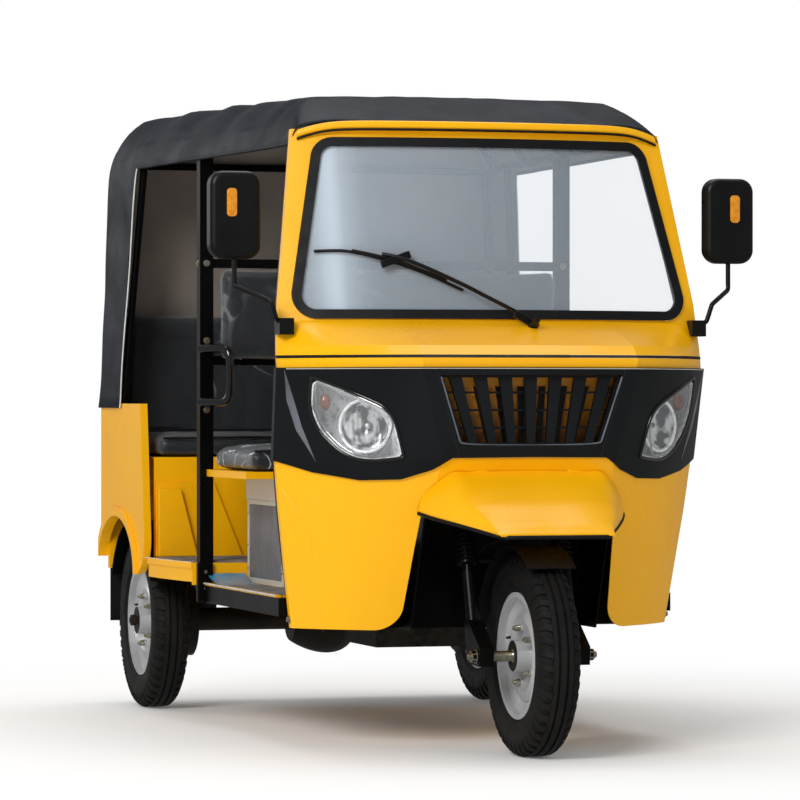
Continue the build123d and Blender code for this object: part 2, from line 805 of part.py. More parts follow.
hub_radius = 42.0
hub_length = 108.0
disc_set = 14.0
bolt_circle = 150.0
bolt_diameter = 20.0
well_radius = 118.0
with BuildPart() as rim_shape:
    flange = rim_flange_diameter / 2
    seat = tyre_bead_diameter / 2 - seat_gap
    with BuildSketch(Plane.XZ):
        # Drop-centre rim section
        with BuildLine():
            Polyline(
                (-rim_width / 2, flange),
                (-rim_width / 2, seat - rim_sheet),
                (-26, seat - rim_sheet),
                (-18, well_radius),
                (18, well_radius),
                (26, seat - rim_sheet),
                (rim_width / 2, seat - rim_sheet),
                (rim_width / 2, flange),
                (rim_width / 2 - rim_sheet, flange),
                (rim_width / 2 - rim_sheet, seat),
                (24, seat),
                (16, well_radius + rim_sheet),
                (-16, well_radius + rim_sheet),
                (-24, seat),
                (rim_sheet - rim_width / 2, seat),
                (rim_sheet - rim_width / 2, flange),
                close=True,
            )
        make_face()
        # Dished disc from the well in to the hub
        with BuildLine():
            Polyline(
                (-disc_set - 8, well_radius + 2),
                (-disc_set - 16, well_radius - 22),
                (-disc_set, hub_radius + 12),
                (-disc_set, hub_radius - 4),
                (-disc_set + 6, hub_radius - 4),
                (-disc_set + 6, hub_radius + 14),
                (-disc_set - 9, well_radius - 20),
                (-disc_set, well_radius + 2),
                close=True,
            )
        make_face()
        # Hub barrel
        with Locations((0, (hub_radius + axle_diameter / 2 + running_clearance) / 2)):
            Rectangle(hub_length, hub_radius - axle_diameter / 2 - running_clearance)
    revolve(axis=Axis.X)
    # Wheel bolts
    with Locations(Plane.YZ.offset(-disc_set - 12)):
        with PolarLocations(bolt_circle / 2, 5):
            Cylinder(bolt_diameter / 2, 18, align=(Align.CENTER, Align.CENTER, Align.MIN))


def place_wheel(shape, name, x, y, turn):
    """Put one wheel part at its axle and save it."""
    with BuildPart() as placed:
        with Locations(Location((x, y, axle_z), (0, 0, turn))):
            add(shape.part)
    save(placed, name)


# Columns: name, x, y, turn about the vertical so that the disc faces out
wheels = [
    ("front", 0.0, front_axle_y, 0),
    ("rear_right", -rear_wheel_x, rear_axle_y, 0),
    ("rear_left", rear_wheel_x, rear_axle_y, 180),
]
for wheel, x, y, turn in wheels:
    place_wheel(tyre_shape, f"{wheel}_tyre", x, y, turn)
    place_wheel(rim_shape, f"{wheel}_rim", x, y, turn)


# ---------------------------------------------------------------- rear body
side_front_y = 752.0
arch_centre_y = 1052.0
side_round = 110.0
side_outline = [
    (side_front_low_y, body_bottom_z), (body_rear_y, body_bottom_z), (body_rear_y, body_top_z),
    (side_front_y, body_top_z),
]


with BuildPart() as rear_sides:
    for side in (-1, 1):
        with BuildSketch(Plane.YZ.offset(side * (body_half_width - side_wall / 2))) as side_face:
            with BuildLine():
                Polyline(*side_outline, close=True)
            make_face()
            fillet(side_face.vertices().sort_by(Axis.Z)[-2:].sort_by(Axis.Y)[0], side_round)
            with Locations((arch_centre_y, body_bottom_z)):
                Ellipse(arch_half_length, arch_height, mode=Mode.SUBTRACT)
        extrude(amount=side_wall / 2, both=True)
        # Flared lip round the arch
        with BuildSketch(Plane.YZ.offset(side * (body_half_width - side_wall / 2))):
            with Locations((arch_centre_y, body_bottom_z)):
                Ellipse(arch_half_length + arch_lip, arch_height + arch_lip)
                Ellipse(arch_half_length, arch_height, mode=Mode.SUBTRACT)
            with Locations((arch_centre_y, body_bottom_z - 300)):
                Rectangle(900, 600, mode=Mode.SUBTRACT)
        extrude(amount=side * (side_wall / 2 + 10))
    # The flange round the arch stops at the rear face
    with BuildSketch(Plane.XY):
        with Locations((0, body_rear_y + 100)):
            Rectangle(2000, 200)
    extrude(amount=2000, mode=Mode.SUBTRACT)
save(rear_sides, "rear_sides")

rear_panel_thickness = 20.0
lid_half_width = 330.0
lid_low_z = 500.0
lid_high_z = 840.0
panel_half = body_half_width - side_wall - seat_gap
with BuildPart() as rear_panel:
    add(block(
        (-panel_half, body_rear_y - rear_panel_thickness, body_bottom_z), (panel_half, body_rear_y, body_top_z - 10)
    ))
    # Raised service lid
    with BuildSketch(Plane.XZ.offset(-body_rear_y)):
        with Locations((0, (lid_low_z + lid_high_z) / 2)):
            RectangleRounded(2 * lid_half_width, lid_high_z - lid_low_z, 30)
    extrude(amount=-6)
save(rear_panel, "rear_panel")

# Inner arches over the rear tyres
housing_inner_x = 470.0
housing_radius = 285.0
housing_outer_x = body_half_width - side_wall - seat_gap
with BuildPart() as rear_wheel_housings:
    for side in (-1, 1):
        with BuildSketch(Plane.YZ.offset(side * housing_inner_x)):
            with Locations((rear_axle_y - 20, axle_z + 20)):
                Circle(housing_radius)
                Circle(housing_radius - sheet, mode=Mode.SUBTRACT)
            with Locations((rear_axle_y, 150)):
                Rectangle(900, 2 * (body_bottom_z - 20 - 150), mode=Mode.SUBTRACT)
        extrude(amount=side * (housing_outer_x - housing_inner_x))
        with BuildSketch(Plane.YZ.offset(side * housing_inner_x)):
            with Locations((rear_axle_y - 20, axle_z + 20)):
                Circle(housing_radius)
            with Locations((rear_axle_y, 150)):
                Rectangle(900, 2 * (body_bottom_z - 20 - 150), mode=Mode.SUBTRACT)
        extrude(amount=side * sheet)
save(rear_wheel_housings, "rear_wheel_housings")

# ---------------------------------------------------------------- seats
with BuildPart() as rear_seat_base:
    # Front panel, deck and the panel's raised field
    add(block(
        (-rear_seat_half_width, rear_seat_front_y, step_z + seat_gap),
        (rear_seat_half_width, rear_seat_front_y + sheet, rear_seat_z),
    ))
    add(block(
        (-rear_seat_half_width, rear_seat_front_y, rear_seat_z - sheet),
        (rear_seat_half_width, body_rear_y - rear_panel_thickness - seat_gap, rear_seat_z),
    ))
    for side in (-1, 1):
        with BuildSketch(Plane.XZ.offset(-rear_seat_front_y)):
            with BuildLine():
                Polyline(
                    (side * 598, step_z + 4), (side * 330, step_z + 4), (side * 420, 690), (side * 598, 690),
                    close=True,
                )
            make_face()
        extrude(amount=14)
save(rear_seat_base, "rear_seat_base")


def cushion(low, high, rounding):
    """A plain padded block with rounded edges."""
    with BuildPart() as pad:
        add(block(low, high))
        fillet(pad.edges(), rounding)
    return pad.part


with BuildPart() as rear_cushion:
    add(cushion(
        (seat_gap - rear_seat_half_width + 6, rear_seat_front_y - 22, rear_seat_z + seat_gap),
        (rear_seat_half_width - 6, rear_seat_back_y, rear_seat_z + cushion_thickness),
        18,
    ))
save(rear_cushion, "rear_cushion")

with BuildPart() as rear_backrest:
    add(cushion(
        (6 - rear_seat_half_width, rear_seat_back_y + seat_gap, rear_seat_z + seat_gap),
        (rear_seat_half_width - 6, rear_seat_back_y + back_thickness, rear_seat_z + 75 + rear_back_height),
        22,
    ))
save(rear_backrest, "rear_backrest")

driver_seat_back_y = b_post_y - post_size / 2 - seat_gap
with BuildPart() as driver_seat_base:
    add(block(
        (-driver_seat_half_width, driver_seat_front_y, driver_seat_z - 20),
        (driver_seat_half_width, driver_seat_back_y, driver_seat_z),
    ))
save(driver_seat_base, "driver_seat_base")

with BuildPart() as driver_cushion:
    add(cushion(
        (8 - driver_seat_half_width, driver_seat_front_y - 6, driver_seat_z + seat_gap),
        (driver_seat_half_width - 8, driver_seat_back_y - 6, driver_seat_z + cushion_thickness),
        18,
    ))
save(driver_cushion, "driver_cushion")

driver_back_thickness = 60.0
with BuildPart() as driver_backrest:
    add(cushion(
        (8 - b_post_x + post_size / 2, b_post_y - cross_bar / 2 - driver_back_thickness - seat_gap, 1045),
        (b_post_x - post_size / 2 - 8, b_post_y - cross_bar / 2 - seat_gap, 1322),
        16,
    ))
save(driver_backrest, "driver_backrest")

# Box under the driver's seat, over the engine
box_half_width = 430.0
box_front_y = -120.0
box_rear_y = 276.0
box_lid_z = 650.0
with BuildPart() as underseat_box:
    add(block((-box_half_width, box_front_y, floor_top_z + seat_gap), (box_half_width, box_rear_y, box_lid_z)))
    add(block(
        (sheet - box_half_width, box_front_y + sheet, floor_top_z - 5),
        (box_half_width - sheet, box_rear_y - sheet, box_lid_z + 5),
    ), mode=Mode.SUBTRACT)
save(underseat_box, "underseat_box")
with BuildPart() as underseat_lid:
    add(block(
        (-box_half_width - 5, box_front_y - 5, box_lid_z + seat_gap),
        (box_half_width + 5, box_rear_y + 5, driver_seat_z - 20 - seat_gap),
    ))
save(underseat_lid, "underseat_lid")

# ---------------------------------------------------------------- running gear
head_bore_gap = 0.1
stem_diameter = head_tube_bore - 2 * head_bore_gap
axle_tube = 70.0
spring_x = 385.0
spring_width = 50.0
leaf_thickness = 7.0
spring_front_y = 740.0
spring_rear_y = 1260.0
spring_eye_z = 366.0
spring_eye = 24.0
spring_pad_z = axle_z + axle_tube / 2
hub_face = rear_wheel_x - hub_length / 2
with BuildPart() as rear_axle:
    add(rod((-hub_face + 6, rear_axle_y, axle_z), (hub_face - 6, rear_axle_y, axle_z), axle_tube))
    # Differential housing
    with BuildSketch(Plane.YZ.offset(-110)):
        with Locations((rear_axle_y, axle_z)):
            Circle(70)
    with BuildSketch(Plane.YZ.offset(-30)):
        with Locations((rear_axle_y, axle_z)):
            Circle(105)
    with BuildSketch(Plane.YZ.offset(40)):
        with Locations((rear_axle_y, axle_z)):
            Circle(105)
    with BuildSketch(Plane.YZ.offset(90)):
        with Locations((rear_axle_y, axle_z)):
            Circle(60)
    loft()
    add(rod((-30, rear_axle_y, axle_z), (-30, rear_axle_y - 170, axle_z), 74))
    for side in (-1, 1):
        # Brake drum and the spindle that carries the wheel
        add(rod((side * (hub_face - 62), rear_axle_y, axle_z), (side * (hub_face - 4), rear_axle_y, axle_z), 220))
        add(rod((side * (hub_face - 5), rear_axle_y, axle_z),
                (side * (rear_wheel_x + hub_length / 2 + 22), rear_axle_y, axle_z), axle_diameter))
        add(rod((side * (rear_wheel_x + hub_length / 2 + 2), rear_axle_y, axle_z),
                (side * (rear_wheel_x + hub_length / 2 + 18), rear_axle_y, axle_z), 34))
save(rear_axle, "rear_axle")

with BuildPart() as leaf_springs:
    for side in (-1, 1):
        for leaf in range(3):
            short = leaf * 95
            drop = leaf * leaf_thickness
            bow = spring_eye_z - spring_pad_z - 2.5 * leaf_thickness
            with BuildSketch(Plane.YZ.offset(side * spring_x - spring_width / 2)):
                with BuildLine():
                    start_y = spring_front_y + short
                    end_y = spring_rear_y - short
                    mid_y = (spring_front_y + spring_rear_y) / 2
                    half_span = (spring_rear_y - spring_front_y) / 2
                    rise = bow * ((half_span - short) / half_span) ** 2
                    low_z = spring_pad_z + 2 * leaf_thickness - drop + seat_gap
                    high_z = low_z + rise
                    ThreePointArc((start_y, high_z), (mid_y, low_z), (end_y, high_z))
                    Line((end_y, high_z), (end_y, high_z + leaf_thickness))
                    ThreePointArc((end_y, high_z + leaf_thickness), (mid_y, low_z + leaf_thickness),
                                  (start_y, high_z + leaf_thickness))
                    Line((start_y, high_z + leaf_thickness), (start_y, high_z))
                make_face()
            extrude(amount=spring_width)
        # Eyes held in the rail's side
        inner_x = side * (rail_half_gap + rail_width + seat_gap)
        outer_x = side * (spring_x + spring_width / 2 + 8)
        for y in (spring_front_y, spring_rear_y):
            add(rod((inner_x, y, spring_eye_z), (outer_x, y, spring_eye_z), spring_eye))
save(leaf_springs, "leaf_springs")

with BuildPart() as engine_block:
    add(block((-engine_half_width, engine_front_y, engine_low_z), (engine_half_width, engine_rear_y, engine_high_z)))
save(engine_block, "engine_block")

# Exhaust: out of the engine's side, back over the axle to the silencer under the tail
exhaust_x = 215.0
exhaust_y = 60.0
exhaust_z = 325.0
exhaust_width = 38.0
silencer_y = 1222.0
silencer_z = 284.0
silencer_width = 104.0
silencer_from_x = 70.0
silencer_to_x = 270.0
with BuildPart() as exhaust:
    pipe = [
        (engine_half_width + seat_gap, exhaust_y, exhaust_z),
        (exhaust_x, exhaust_y, exhaust_z),
        (exhaust_x, silencer_y - silencer_width, exhaust_z),
        (exhaust_x, silencer_y, silencer_z + 10),
    ]
    add(bent_tube(pipe, 30, exhaust_width))
    add(rod((silencer_from_x, silencer_y, silencer_z), (silencer_to_x, silencer_y, silencer_z), silencer_width))
    # Hanger up to the last cross member
    hanger_x = (silencer_from_x + silencer_to_x) / 2
    add(block(
        (hanger_x - 16, silencer_y + 26, silencer_z),
        (hanger_x + 16, silencer_y + 34, rail_top_z - member_height - seat_gap),
    ))
    # Tail pipe
    add(rod((silencer_to_x - 30, silencer_y, silencer_z), (silencer_to_x - 30, body_rear_y - 8, silencer_z), 34))
save(exhaust, "exhaust")

with BuildPart() as drive_shaft:
    add(rod((-30, rear_axle_y - 170.3, axle_z), (-30, engine_rear_y + seat_gap, axle_z), 40))
save(drive_shaft, "drive_shaft")

# ---------------------------------------------------------------- steering
yoke_z = 690.0
yoke_thickness = 28.0
axle_half = 158.0
leg_lower_z = 262.0
with BuildPart() as front_fork:
    # Stem and the yoke below the head tube
    add(rod(on_steering_axis(yoke_z), on_steering_axis(head_high_z + 60), stem_diameter))
    with BuildSketch(Plane(on_steering_axis(yoke_z), x_dir=(1, 0, 0), z_dir=steer_axis)):
        RectangleRounded(2 * fork_half_width + 60, 64, 30)
    extrude(amount=yoke_thickness)
    for side in (-1, 1):
        foot = on_steering_axis(leg_lower_z, 0, side * fork_half_width)
        top = on_steering_axis(yoke_z + 10, 0, side * fork_half_width)
        middle = foot + (top - foot) * 0.5
        add(rod(middle - steer_axis * 20, top, fork_tube_diameter))
        add(rod(foot, middle, fork_leg_diameter))
        # Forward lug that carries the axle
        with BuildSketch(Plane.YZ.offset(side * fork_half_width - fork_leg_diameter / 2)):
            with BuildLine():
                Polyline(
                    (foot.Y + 14, foot.Z - 18),
                    (front_axle_y - 22, axle_z - 26),
                    (front_axle_y - 26, axle_z + 22),
                    (foot.Y + 8, foot.Z + 95),
                    (foot.Y + 42, foot.Z + 90),
                    close=True,
                )
            make_face()
        extrude(amount=fork_leg_diameter)
    add(rod((-axle_half, front_axle_y, axle_z), (axle_half, front_axle_y, axle_z), axle_diameter))
    for side in (-1, 1):
        add(rod((side * (axle_half - 4), front_axle_y, axle_z), (side * (axle_half + 8), front_axle_y, axle_z), 30))
        add(rod((side * (hub_length / 2 + 1), front_axle_y, axle_z),
                (side * (fork_half_width - 15), front_axle_y, axle_z), 26))
save(front_fork, "front_fork")

spring_coil_diameter = 58.0
spring_wire = 9.0
spring_turns = 13
spring_low_share = 0.56
spring_high_share = 0.93
spring_seat = 6.0
tube_bore = fork_tube_diameter + 2 * seat_gap
with BuildPart() as fork_springs:
    for side in (-1, 1):
        foot = on_steering_axis(leg_lower_z, 0, side * fork_half_width)
        top = on_steering_axis(yoke_z + 10, 0, side * fork_half_width)
        low = foot + (top - foot) * spring_low_share
        high = foot + (top - foot) * spring_high_share
        pitch = (high - low).length / spring_turns
        for turn in range(spring_turns):
            centre = low + steer_axis * (pitch * (turn + 0.5))
            with Locations(Plane(centre, z_dir=steer_axis)):
                Torus(spring_coil_diameter / 2 - spring_wire / 2, spring_wire / 2)
        add(rod(low, high, spring_coil_diameter - 2 * spring_wire + 1, tube_bore))
        add(rod(low - steer_axis * spring_seat, low, spring_coil_diameter, tube_bore))
        add(rod(high, high + steer_axis * spring_seat, spring_coil_diameter, tube_bore))
save(fork_springs, "fork_springs")

guard_radius = tyre_diameter / 2 + 20
guard_half = 66.0
guard_from = -35.0
guard_to = 75.0
guard_sheet = 3.0
bracket_low = (-900.0, 504.0)
bracket_high = (-872.0, 512.0)
with BuildPart() as front_mudguard:
    # A narrow guard over the tyre, carried by the fork legs
    with BuildSketch(Plane.YZ.offset(-guard_half)):
        with Locations((front_axle_y, axle_z)):
            Circle(guard_radius + guard_sheet)
            Circle(guard_radius, mode=Mode.SUBTRACT)
        with BuildLine():
            wedge = [
                (front_axle_y + 500 * sin(radians(angle)), axle_z + 500 * cos(radians(angle)))
                for angle in (guard_from, 0, 40, guard_to)
            ]
            Polyline((front_axle_y, axle_z), *wedge, close=True)
        make_face(mode=Mode.INTERSECT)
    extrude(amount=2 * guard_half)
    for side in (-1, 1):
        # Brackets out to the lower spring seats
        seat_face = fork_half_width - spring_coil_diameter / 2 - seat_gap
        low_x, high_x = sorted((side * (guard_half - 8), side * seat_face))
        add(block((low_x, *bracket_low), (high_x, *bracket_high)))
save(front_mudguard, "front_mudguard")

bar_diameter = 26.0
grip_diameter = 34.0
bar_z = 1000.0
with BuildPart() as handlebar:
    riser = on_steering_axis(bar_z)
    add(rod(on_steering_axis(head_high_z + 60 + seat_gap), riser, stem_diameter))
    bar_points = [
        riser + Vector(-320, 110, -6), riser + Vector(-170, 18, 14), riser + Vector(0, 0, 0),
        riser + Vector(170, 18, 14), riser + Vector(320, 110, -6),
    ]
    add(bent_tube(bar_points, 40, bar_diameter))
    for side in (-1, 1):
        add(rod(riser + Vector(side * 205, 40, 9.3), riser + Vector(side * 325, 113, -6.7), grip_diameter))
save(handlebar, "handlebar")

# Head tube on two bent tubes that stand on the floor
neck_x = 120.0
neck_from_wall = 36.0
neck_bend = 60.0
neck_plate = (40.0, 30.0, 8.0)
with BuildPart() as steering_neck:
    add(rod(on_steering_axis(head_low_z), on_steering_axis(head_high_z), head_tube_diameter, head_tube_bore))
    for side in (-1, 1):
        foot = Vector(side * neck_x, arch_wall_y + neck_from_wall, floor_top_z + seat_gap)
        knee = Vector(foot.X, foot.Y, arch_wall_top_z + 70)
        add(bent_tube([foot, knee, on_steering_axis(head_high_z - 40, 0, side * 14)], neck_bend, neck_tube))
        add(block(
            (foot.X - neck_plate[0], foot.Y - neck_plate[1], foot.Z),
            (foot.X + neck_plate[0], foot.Y + neck_plate[1], foot.Z + neck_plate[2]),
        ))
    add(rod(on_steering_axis(head_low_z - 1), on_steering_axis(head_high_z + 1), head_tube_bore),
        mode=Mode.SUBTRACT)
save(steering_neck, "steering_neck")

# ---------------------------------------------------------------- cab fittings
dash_z = 955.0
dash_half = 235.0
dash_front_y = -905.0
dash_rear_y = -862.0
with BuildPart() as dashboard:
    add(block((-dash_half, dash_front_y, arch_wall_top_z + seat_gap), (dash_half, dash_rear_y, dash_z)))
save(dashboard, "dashboard")

# Foot brake beside the housing of the front wheel
pedal_x = -330.0
pedal_y = -600.0
pedal_rise = 78.0
with BuildPart() as brake_pedal:
    pedal_foot = floor_top_z + seat_gap
    add(block((pedal_x - 22, pedal_y - 24, pedal_foot), (pedal_x + 22, pedal_y + 24, pedal_foot + 8)))
    add(rod((pedal_x, pedal_y, pedal_foot + 4), (pedal_x, pedal_y + 8, pedal_foot + pedal_rise), 14))
    with BuildSketch(Plane((pedal_x, pedal_y + 8, pedal_foot + pedal_rise), z_dir=(0, 1, 1))):
        RectangleRounded(62, 84, 10)
    extrude(amount=9)
save(brake_pedal, "brake_pedal")

mirror_base = Vector(584.0, -706.0, 1132.0)
mirror_centre = Vector(704.0, -634.0, 1430.0)
mirror_width = 140.0
mirror_height = 235.0
mirror_arm = 13.0
mirror_depth = 44.0
mirror_round = 38.0
mirror_edge = 16.0
with BuildPart() as mirrors:
    for side in (-1, 1):
        base = Vector(side * mirror_base.X, mirror_base.Y, mirror_base.Z)
        foot = Vector(side * mirror_centre.X, mirror_centre.Y, mirror_centre.Z - mirror_height / 2 - 2)
        points = [
            base, base + Vector(side * 26, -10, 20), base + Vector(side * 40, -14, 66),
            Vector(foot.X, foot.Y, foot.Z - 70), foot + Vector(0, 0, 6),
        ]
        add(bent_tube(points, 12, mirror_arm))
        add(block(
            (base.X - 20, base.Y - 22, base.Z - 22), (base.X + 20, base.Y + 30, base.Z + 22)
        ))
        with BuildSketch(Plane.XZ.offset(mirror_depth / 2 - mirror_centre.Y)):
            with Locations((side * mirror_centre.X, mirror_centre.Z)):
                RectangleRounded(mirror_width, mirror_height, mirror_round)
        head = extrude(amount=-mirror_depth)
        fillet(head.faces().sort_by(Axis.Y)[0].edges(), mirror_edge)
    add(front_solid(seat_gap, 1060, 1220), mode=Mode.SUBTRACT)
    add(behind_pillar(-4), mode=Mode.SUBTRACT)
save(mirrors, "mirrors")

handle_diameter = 22.0
handle_high_z = 1085.0
handle_low_z = 930.0
handle_reach = 95.0
handle_bend = 34.0
with BuildPart() as grab_handles:
    for side in (-1, 1):
        face_y = b_post_y - post_size / 2
        points = [
            (side * b_post_x, face_y - seat_gap, handle_high_z),
            (side * b_post_x, face_y - handle_reach, handle_high_z),
            (side * b_post_x, face_y - handle_reach, handle_low_z),
            (side * b_post_x, face_y - seat_gap, handle_low_z),
        ]
        add(bent_tube(points, handle_bend, handle_diameter))
save(grab_handles, "grab_handles")

# ---------------------------------------------------------------- canopy
# Columns: y, half width at the hem, half width and height of the eave, half width and height of
# the roof's edge, height of the crown
canopy_stations = [
    (-660.0, 531.0, 524.0, 1642.0, 420.0, 1772.0, 1790.0),
    (-362.0, 539.0, 530.0, 1648.0, 428.0, 1772.0, 1786.0),
    (330.0, 600.0, 573.0, 1658.0, 455.0, 1794.0, 1808.0),
    (950.0, 650.0, 608.0, 1666.0, 500.0, 1804.0, 1820.0),
    (1330.0, 652.0, 630.0, 1640.0, 540.0, 1800.0, 1815.0),
]
hem_z = 880.0
canopy_bulge = 16.0
canopy_front_low = (-610.0, 1690.3)
canopy_ridge = (-366.0, 1772.0)
canopy_roof_end = (1120.0, 1830.0)
canopy_shoulder = (1266.0, 1700.0)
canopy_rear_low = (1300.0, 907.0)
canopy_side_front_y = -503.0
canopy_drop_y = 1000.0


def canopy_space(inset):
    """The canopy's outer form, drawn in by inset."""
    with BuildPart() as cross:
        for y, hem, eave, eave_z, edge, edge_z, crown in canopy_stations:
            with BuildSketch(Plane.XZ.offset(-y)):
                with BuildLine():
                    right_hem = (hem - inset, hem_z - inset)
                    right_eave = (eave - inset, eave_z)
                    right_edge = (edge - inset * 0.6, edge_z - inset)
                    mid = (
                        (right_eave[0] + right_edge[0]) / 2 + canopy_bulge * 0.7,
                        (right_eave[1] + right_edge[1]) / 2 + canopy_bulge * 0.5,
                    )
                    left_hem = (-right_hem[0], right_hem[1])
                    left_eave = (-right_eave[0], right_eave[1])
                    left_edge = (-right_edge[0], right_edge[1])
                    Line(left_hem, right_hem)
                    Line(right_hem, right_eave)
                    ThreePointArc(right_eave, mid, right_edge)
                    ThreePointArc(right_edge, (0, crown - inset), left_edge)
                    ThreePointArc(left_edge, (-mid[0], mid[1]), left_eave)
                    Line(left_eave, left_hem)
                make_face()
        loft(ruled=True)
    with BuildPart() as side_form:
        with BuildSketch(Plane.YZ):
            with BuildLine():
                front_y, front_z = canopy_front_low
                ridge_y, ridge_z = canopy_ridge
                end_y, end_z = canopy_roof_end
                shoulder_y, shoulder_z = canopy_shoulder
                rear_y, rear_z = canopy_rear_low
                Polyline(
                    (rear_y - inset, hem_z - 10), (front_y - 60 + inset, hem_z - 10),
                    (front_y - 60 + inset, front_z - inset - 14), (ridge_y, ridge_z - inset),
                    (0, 1845 - inset), (end_y, end_z - inset),
                )
                ThreePointArc(
                    (end_y, end_z - inset), (1226 - inset * 0.7, 1790 - inset * 0.7),
                    (shoulder_y - inset, shoulder_z),
                )
                Polyline((shoulder_y - inset, shoulder_z), (rear_y - inset, rear_z + 500), (rear_y - inset, hem_z - 10))
            make_face()
        extrude(amount=800, both=True)
        add(cross.part, mode=Mode.INTERSECT)
    return side_form.part


# Above the visor the canopy's front follows the screen's curve in plan
top_row = front_stations[-1]
with BuildPart() as canopy_plan:
    with BuildSketch(Plane.XY.offset(hem_z)):
        with BuildLine():
            ThreePointArc(
                (-560, top_row[4] - 20), (0, top_row[2] - top_row[6] - 20), (560, top_row[4] - 20)
            )
            Polyline((560, top_row[4] - 20), (760, 1400), (-760, 1400), (-560, top_row[4] - 20))
        make_face()
    extrude(amount=1100)

with BuildPart() as canopy:
    add(canopy_space(0))
    add(canopy_plan.part, mode=Mode.INTERSECT)
    add(canopy_space(canopy_cloth), mode=Mode.SUBTRACT)
    # Open front and sides, and the hem at the rear
    with BuildSketch(Plane.YZ):
        with BuildLine():
            Polyline(
                (-900, 800), (-900, visor_top_z + seat_gap), (canopy_side_front_y, visor_top_z + seat_gap),
                (canopy_side_front_y, 1626), (b_post_y, 1634), (canopy_drop_y - 56, 1640),
                (canopy_drop_y, 928), (canopy_drop_y, 800),
                close=True,
            )
        make_face()
    extrude(amount=900, both=True, mode=Mode.SUBTRACT)
    add(block((-900, 900, 700), (900, 1500, canopy_rear_low[1])), mode=Mode.SUBTRACT)
save(canopy, "canopy")


def canopy_station(y):
    """The canopy's row at y, interpolated."""
    for front, rear in zip(canopy_stations, canopy_stations[1:]):
        if front[0] <= y <= rear[0]:
            share = (y - front[0]) / (rear[0] - front[0])
            return tuple(a + share * (b - a) for a, b in zip(front, rear))
    raise ValueError(y)


# Bows on two side rails, with rear legs that stand on the body
bow_inset = canopy_cloth + bow_diameter / 2 + 0.6
rail_inset = bow_inset + 12
rail_z = post_top_z + bow_diameter / 2 + seat_gap
bow_places = [-240.0, 60.0, 330.0, 720.0, 1100.0]
rear_leg_y = 1238.0
leg_foot_x = body_half_width - side_wall / 2
with BuildPart() as canopy_frame:
    for y in bow_places:
        row = canopy_station(y)
        eave = row[2] - rail_inset
        edge = row[4] - 0.6 * bow_inset
        edge_z = row[5] - bow_inset
        half_bow = [(eave, y, rail_z), (edge, y, edge_z)]
        points = [(-x, y, z) for x, y, z in half_bow] + [(0, y, row[6] - bow_inset)] + half_bow[::-1]
        add(bent_tube(points, 50, bow_diameter))
    for side in (-1, 1):
        rail = [(side * (canopy_station(y)[2] - rail_inset), y, rail_z) for y in (-500, 330, 950, rear_leg_y)]
        for start, end in zip(rail, rail[1:]):
            add(rod(start, end, bow_diameter))
        for x, y, z in rail[1:3]:
            with Locations((x, y, z)):
                Sphere(bow_diameter / 2)
        leg_foot = (side * leg_foot_x, rear_leg_y, body_top_z + 1.3)
        add(rod(leg_foot, rail[-1], bow_diameter))
        drop_foot = (side * leg_foot_x, canopy_drop_y + 20, body_top_z + 1.3)
        add(rod(drop_foot, rail[2], bow_diameter))
    with Locations((0, rear_leg_y, rail_z)):
        Cylinder(bow_diameter / 2, 2 * (canopy_station(rear_leg_y)[2] - rail_inset), rotation=(0, 90, 0))
save(canopy_frame, "canopy_frame")

# ---------------------------------------------------------------- rear fittings
lamp_x = 540.0
lamp_z = 800.0
lamp_width = 100.0
lamp_height = 170.0
with BuildPart() as tail_lamps:
    with BuildSketch(Plane.XZ.offset(-body_rear_y - seat_gap)):
        with Locations((-lamp_x, lamp_z), (lamp_x, lamp_z)):
            RectangleRounded(lamp_width, lamp_height, 20)
    extrude(amount=-11)
save(tail_lamps, "tail_lamps")

plate_hole_radius = 3.5
plate_hole_spacing = 160.0
plate_z = 458.0
plate_width = 200.0
plate_height = 60.0
with BuildPart() as plate_bracket:
    with BuildSketch(Plane.XZ.offset(-body_rear_y - seat_gap)):
        with Locations((0, plate_z)):
            Rectangle(plate_width, plate_height)
            with GridLocations(plate_hole_spacing, 0, 2, 1):
                Circle(plate_hole_radius, mode=Mode.SUBTRACT)
    extrude(amount=-5)
save(plate_bracket, "plate_bracket")
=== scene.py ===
import math

import bmesh
import bpy
from mathutils import Matrix, Vector, noise
from mathutils.bvhtree import BVHTree


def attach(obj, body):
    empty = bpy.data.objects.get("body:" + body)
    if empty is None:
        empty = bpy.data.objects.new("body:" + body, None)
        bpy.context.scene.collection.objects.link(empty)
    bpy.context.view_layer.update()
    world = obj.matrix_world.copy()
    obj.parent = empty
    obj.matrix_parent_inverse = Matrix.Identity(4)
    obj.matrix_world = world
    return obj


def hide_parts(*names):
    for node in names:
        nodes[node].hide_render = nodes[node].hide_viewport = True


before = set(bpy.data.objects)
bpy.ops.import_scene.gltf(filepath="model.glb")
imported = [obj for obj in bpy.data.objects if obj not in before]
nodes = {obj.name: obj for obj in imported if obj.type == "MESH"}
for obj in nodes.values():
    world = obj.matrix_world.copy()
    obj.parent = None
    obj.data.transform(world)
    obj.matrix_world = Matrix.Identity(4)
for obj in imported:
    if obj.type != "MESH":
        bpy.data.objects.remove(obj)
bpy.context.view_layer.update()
mm = 0.001  # sizes below are in millimetres unless they say metres, Blender's unit
sides = ((-1, "Right"), (1, "Left"))  # the vehicle's own right and left
print("frame loaded:", len(nodes), "nodes")


# Camera and studio
cameraSettings = {
    "place": (-3483.4, -11505.6, 936.0),
    "heading": 16.6,  # degrees from straight ahead, towards the vehicle's left
    "lens": 189.0,
    "film": 36.0,
    "farthest": 200.0,  # metres
}


def linked(name, data):
    holder = bpy.data.objects.new(name, data)
    bpy.context.scene.collection.objects.link(holder)
    return holder


def turned(axis, degrees):
    return Matrix.Rotation(math.radians(degrees), 4, axis)


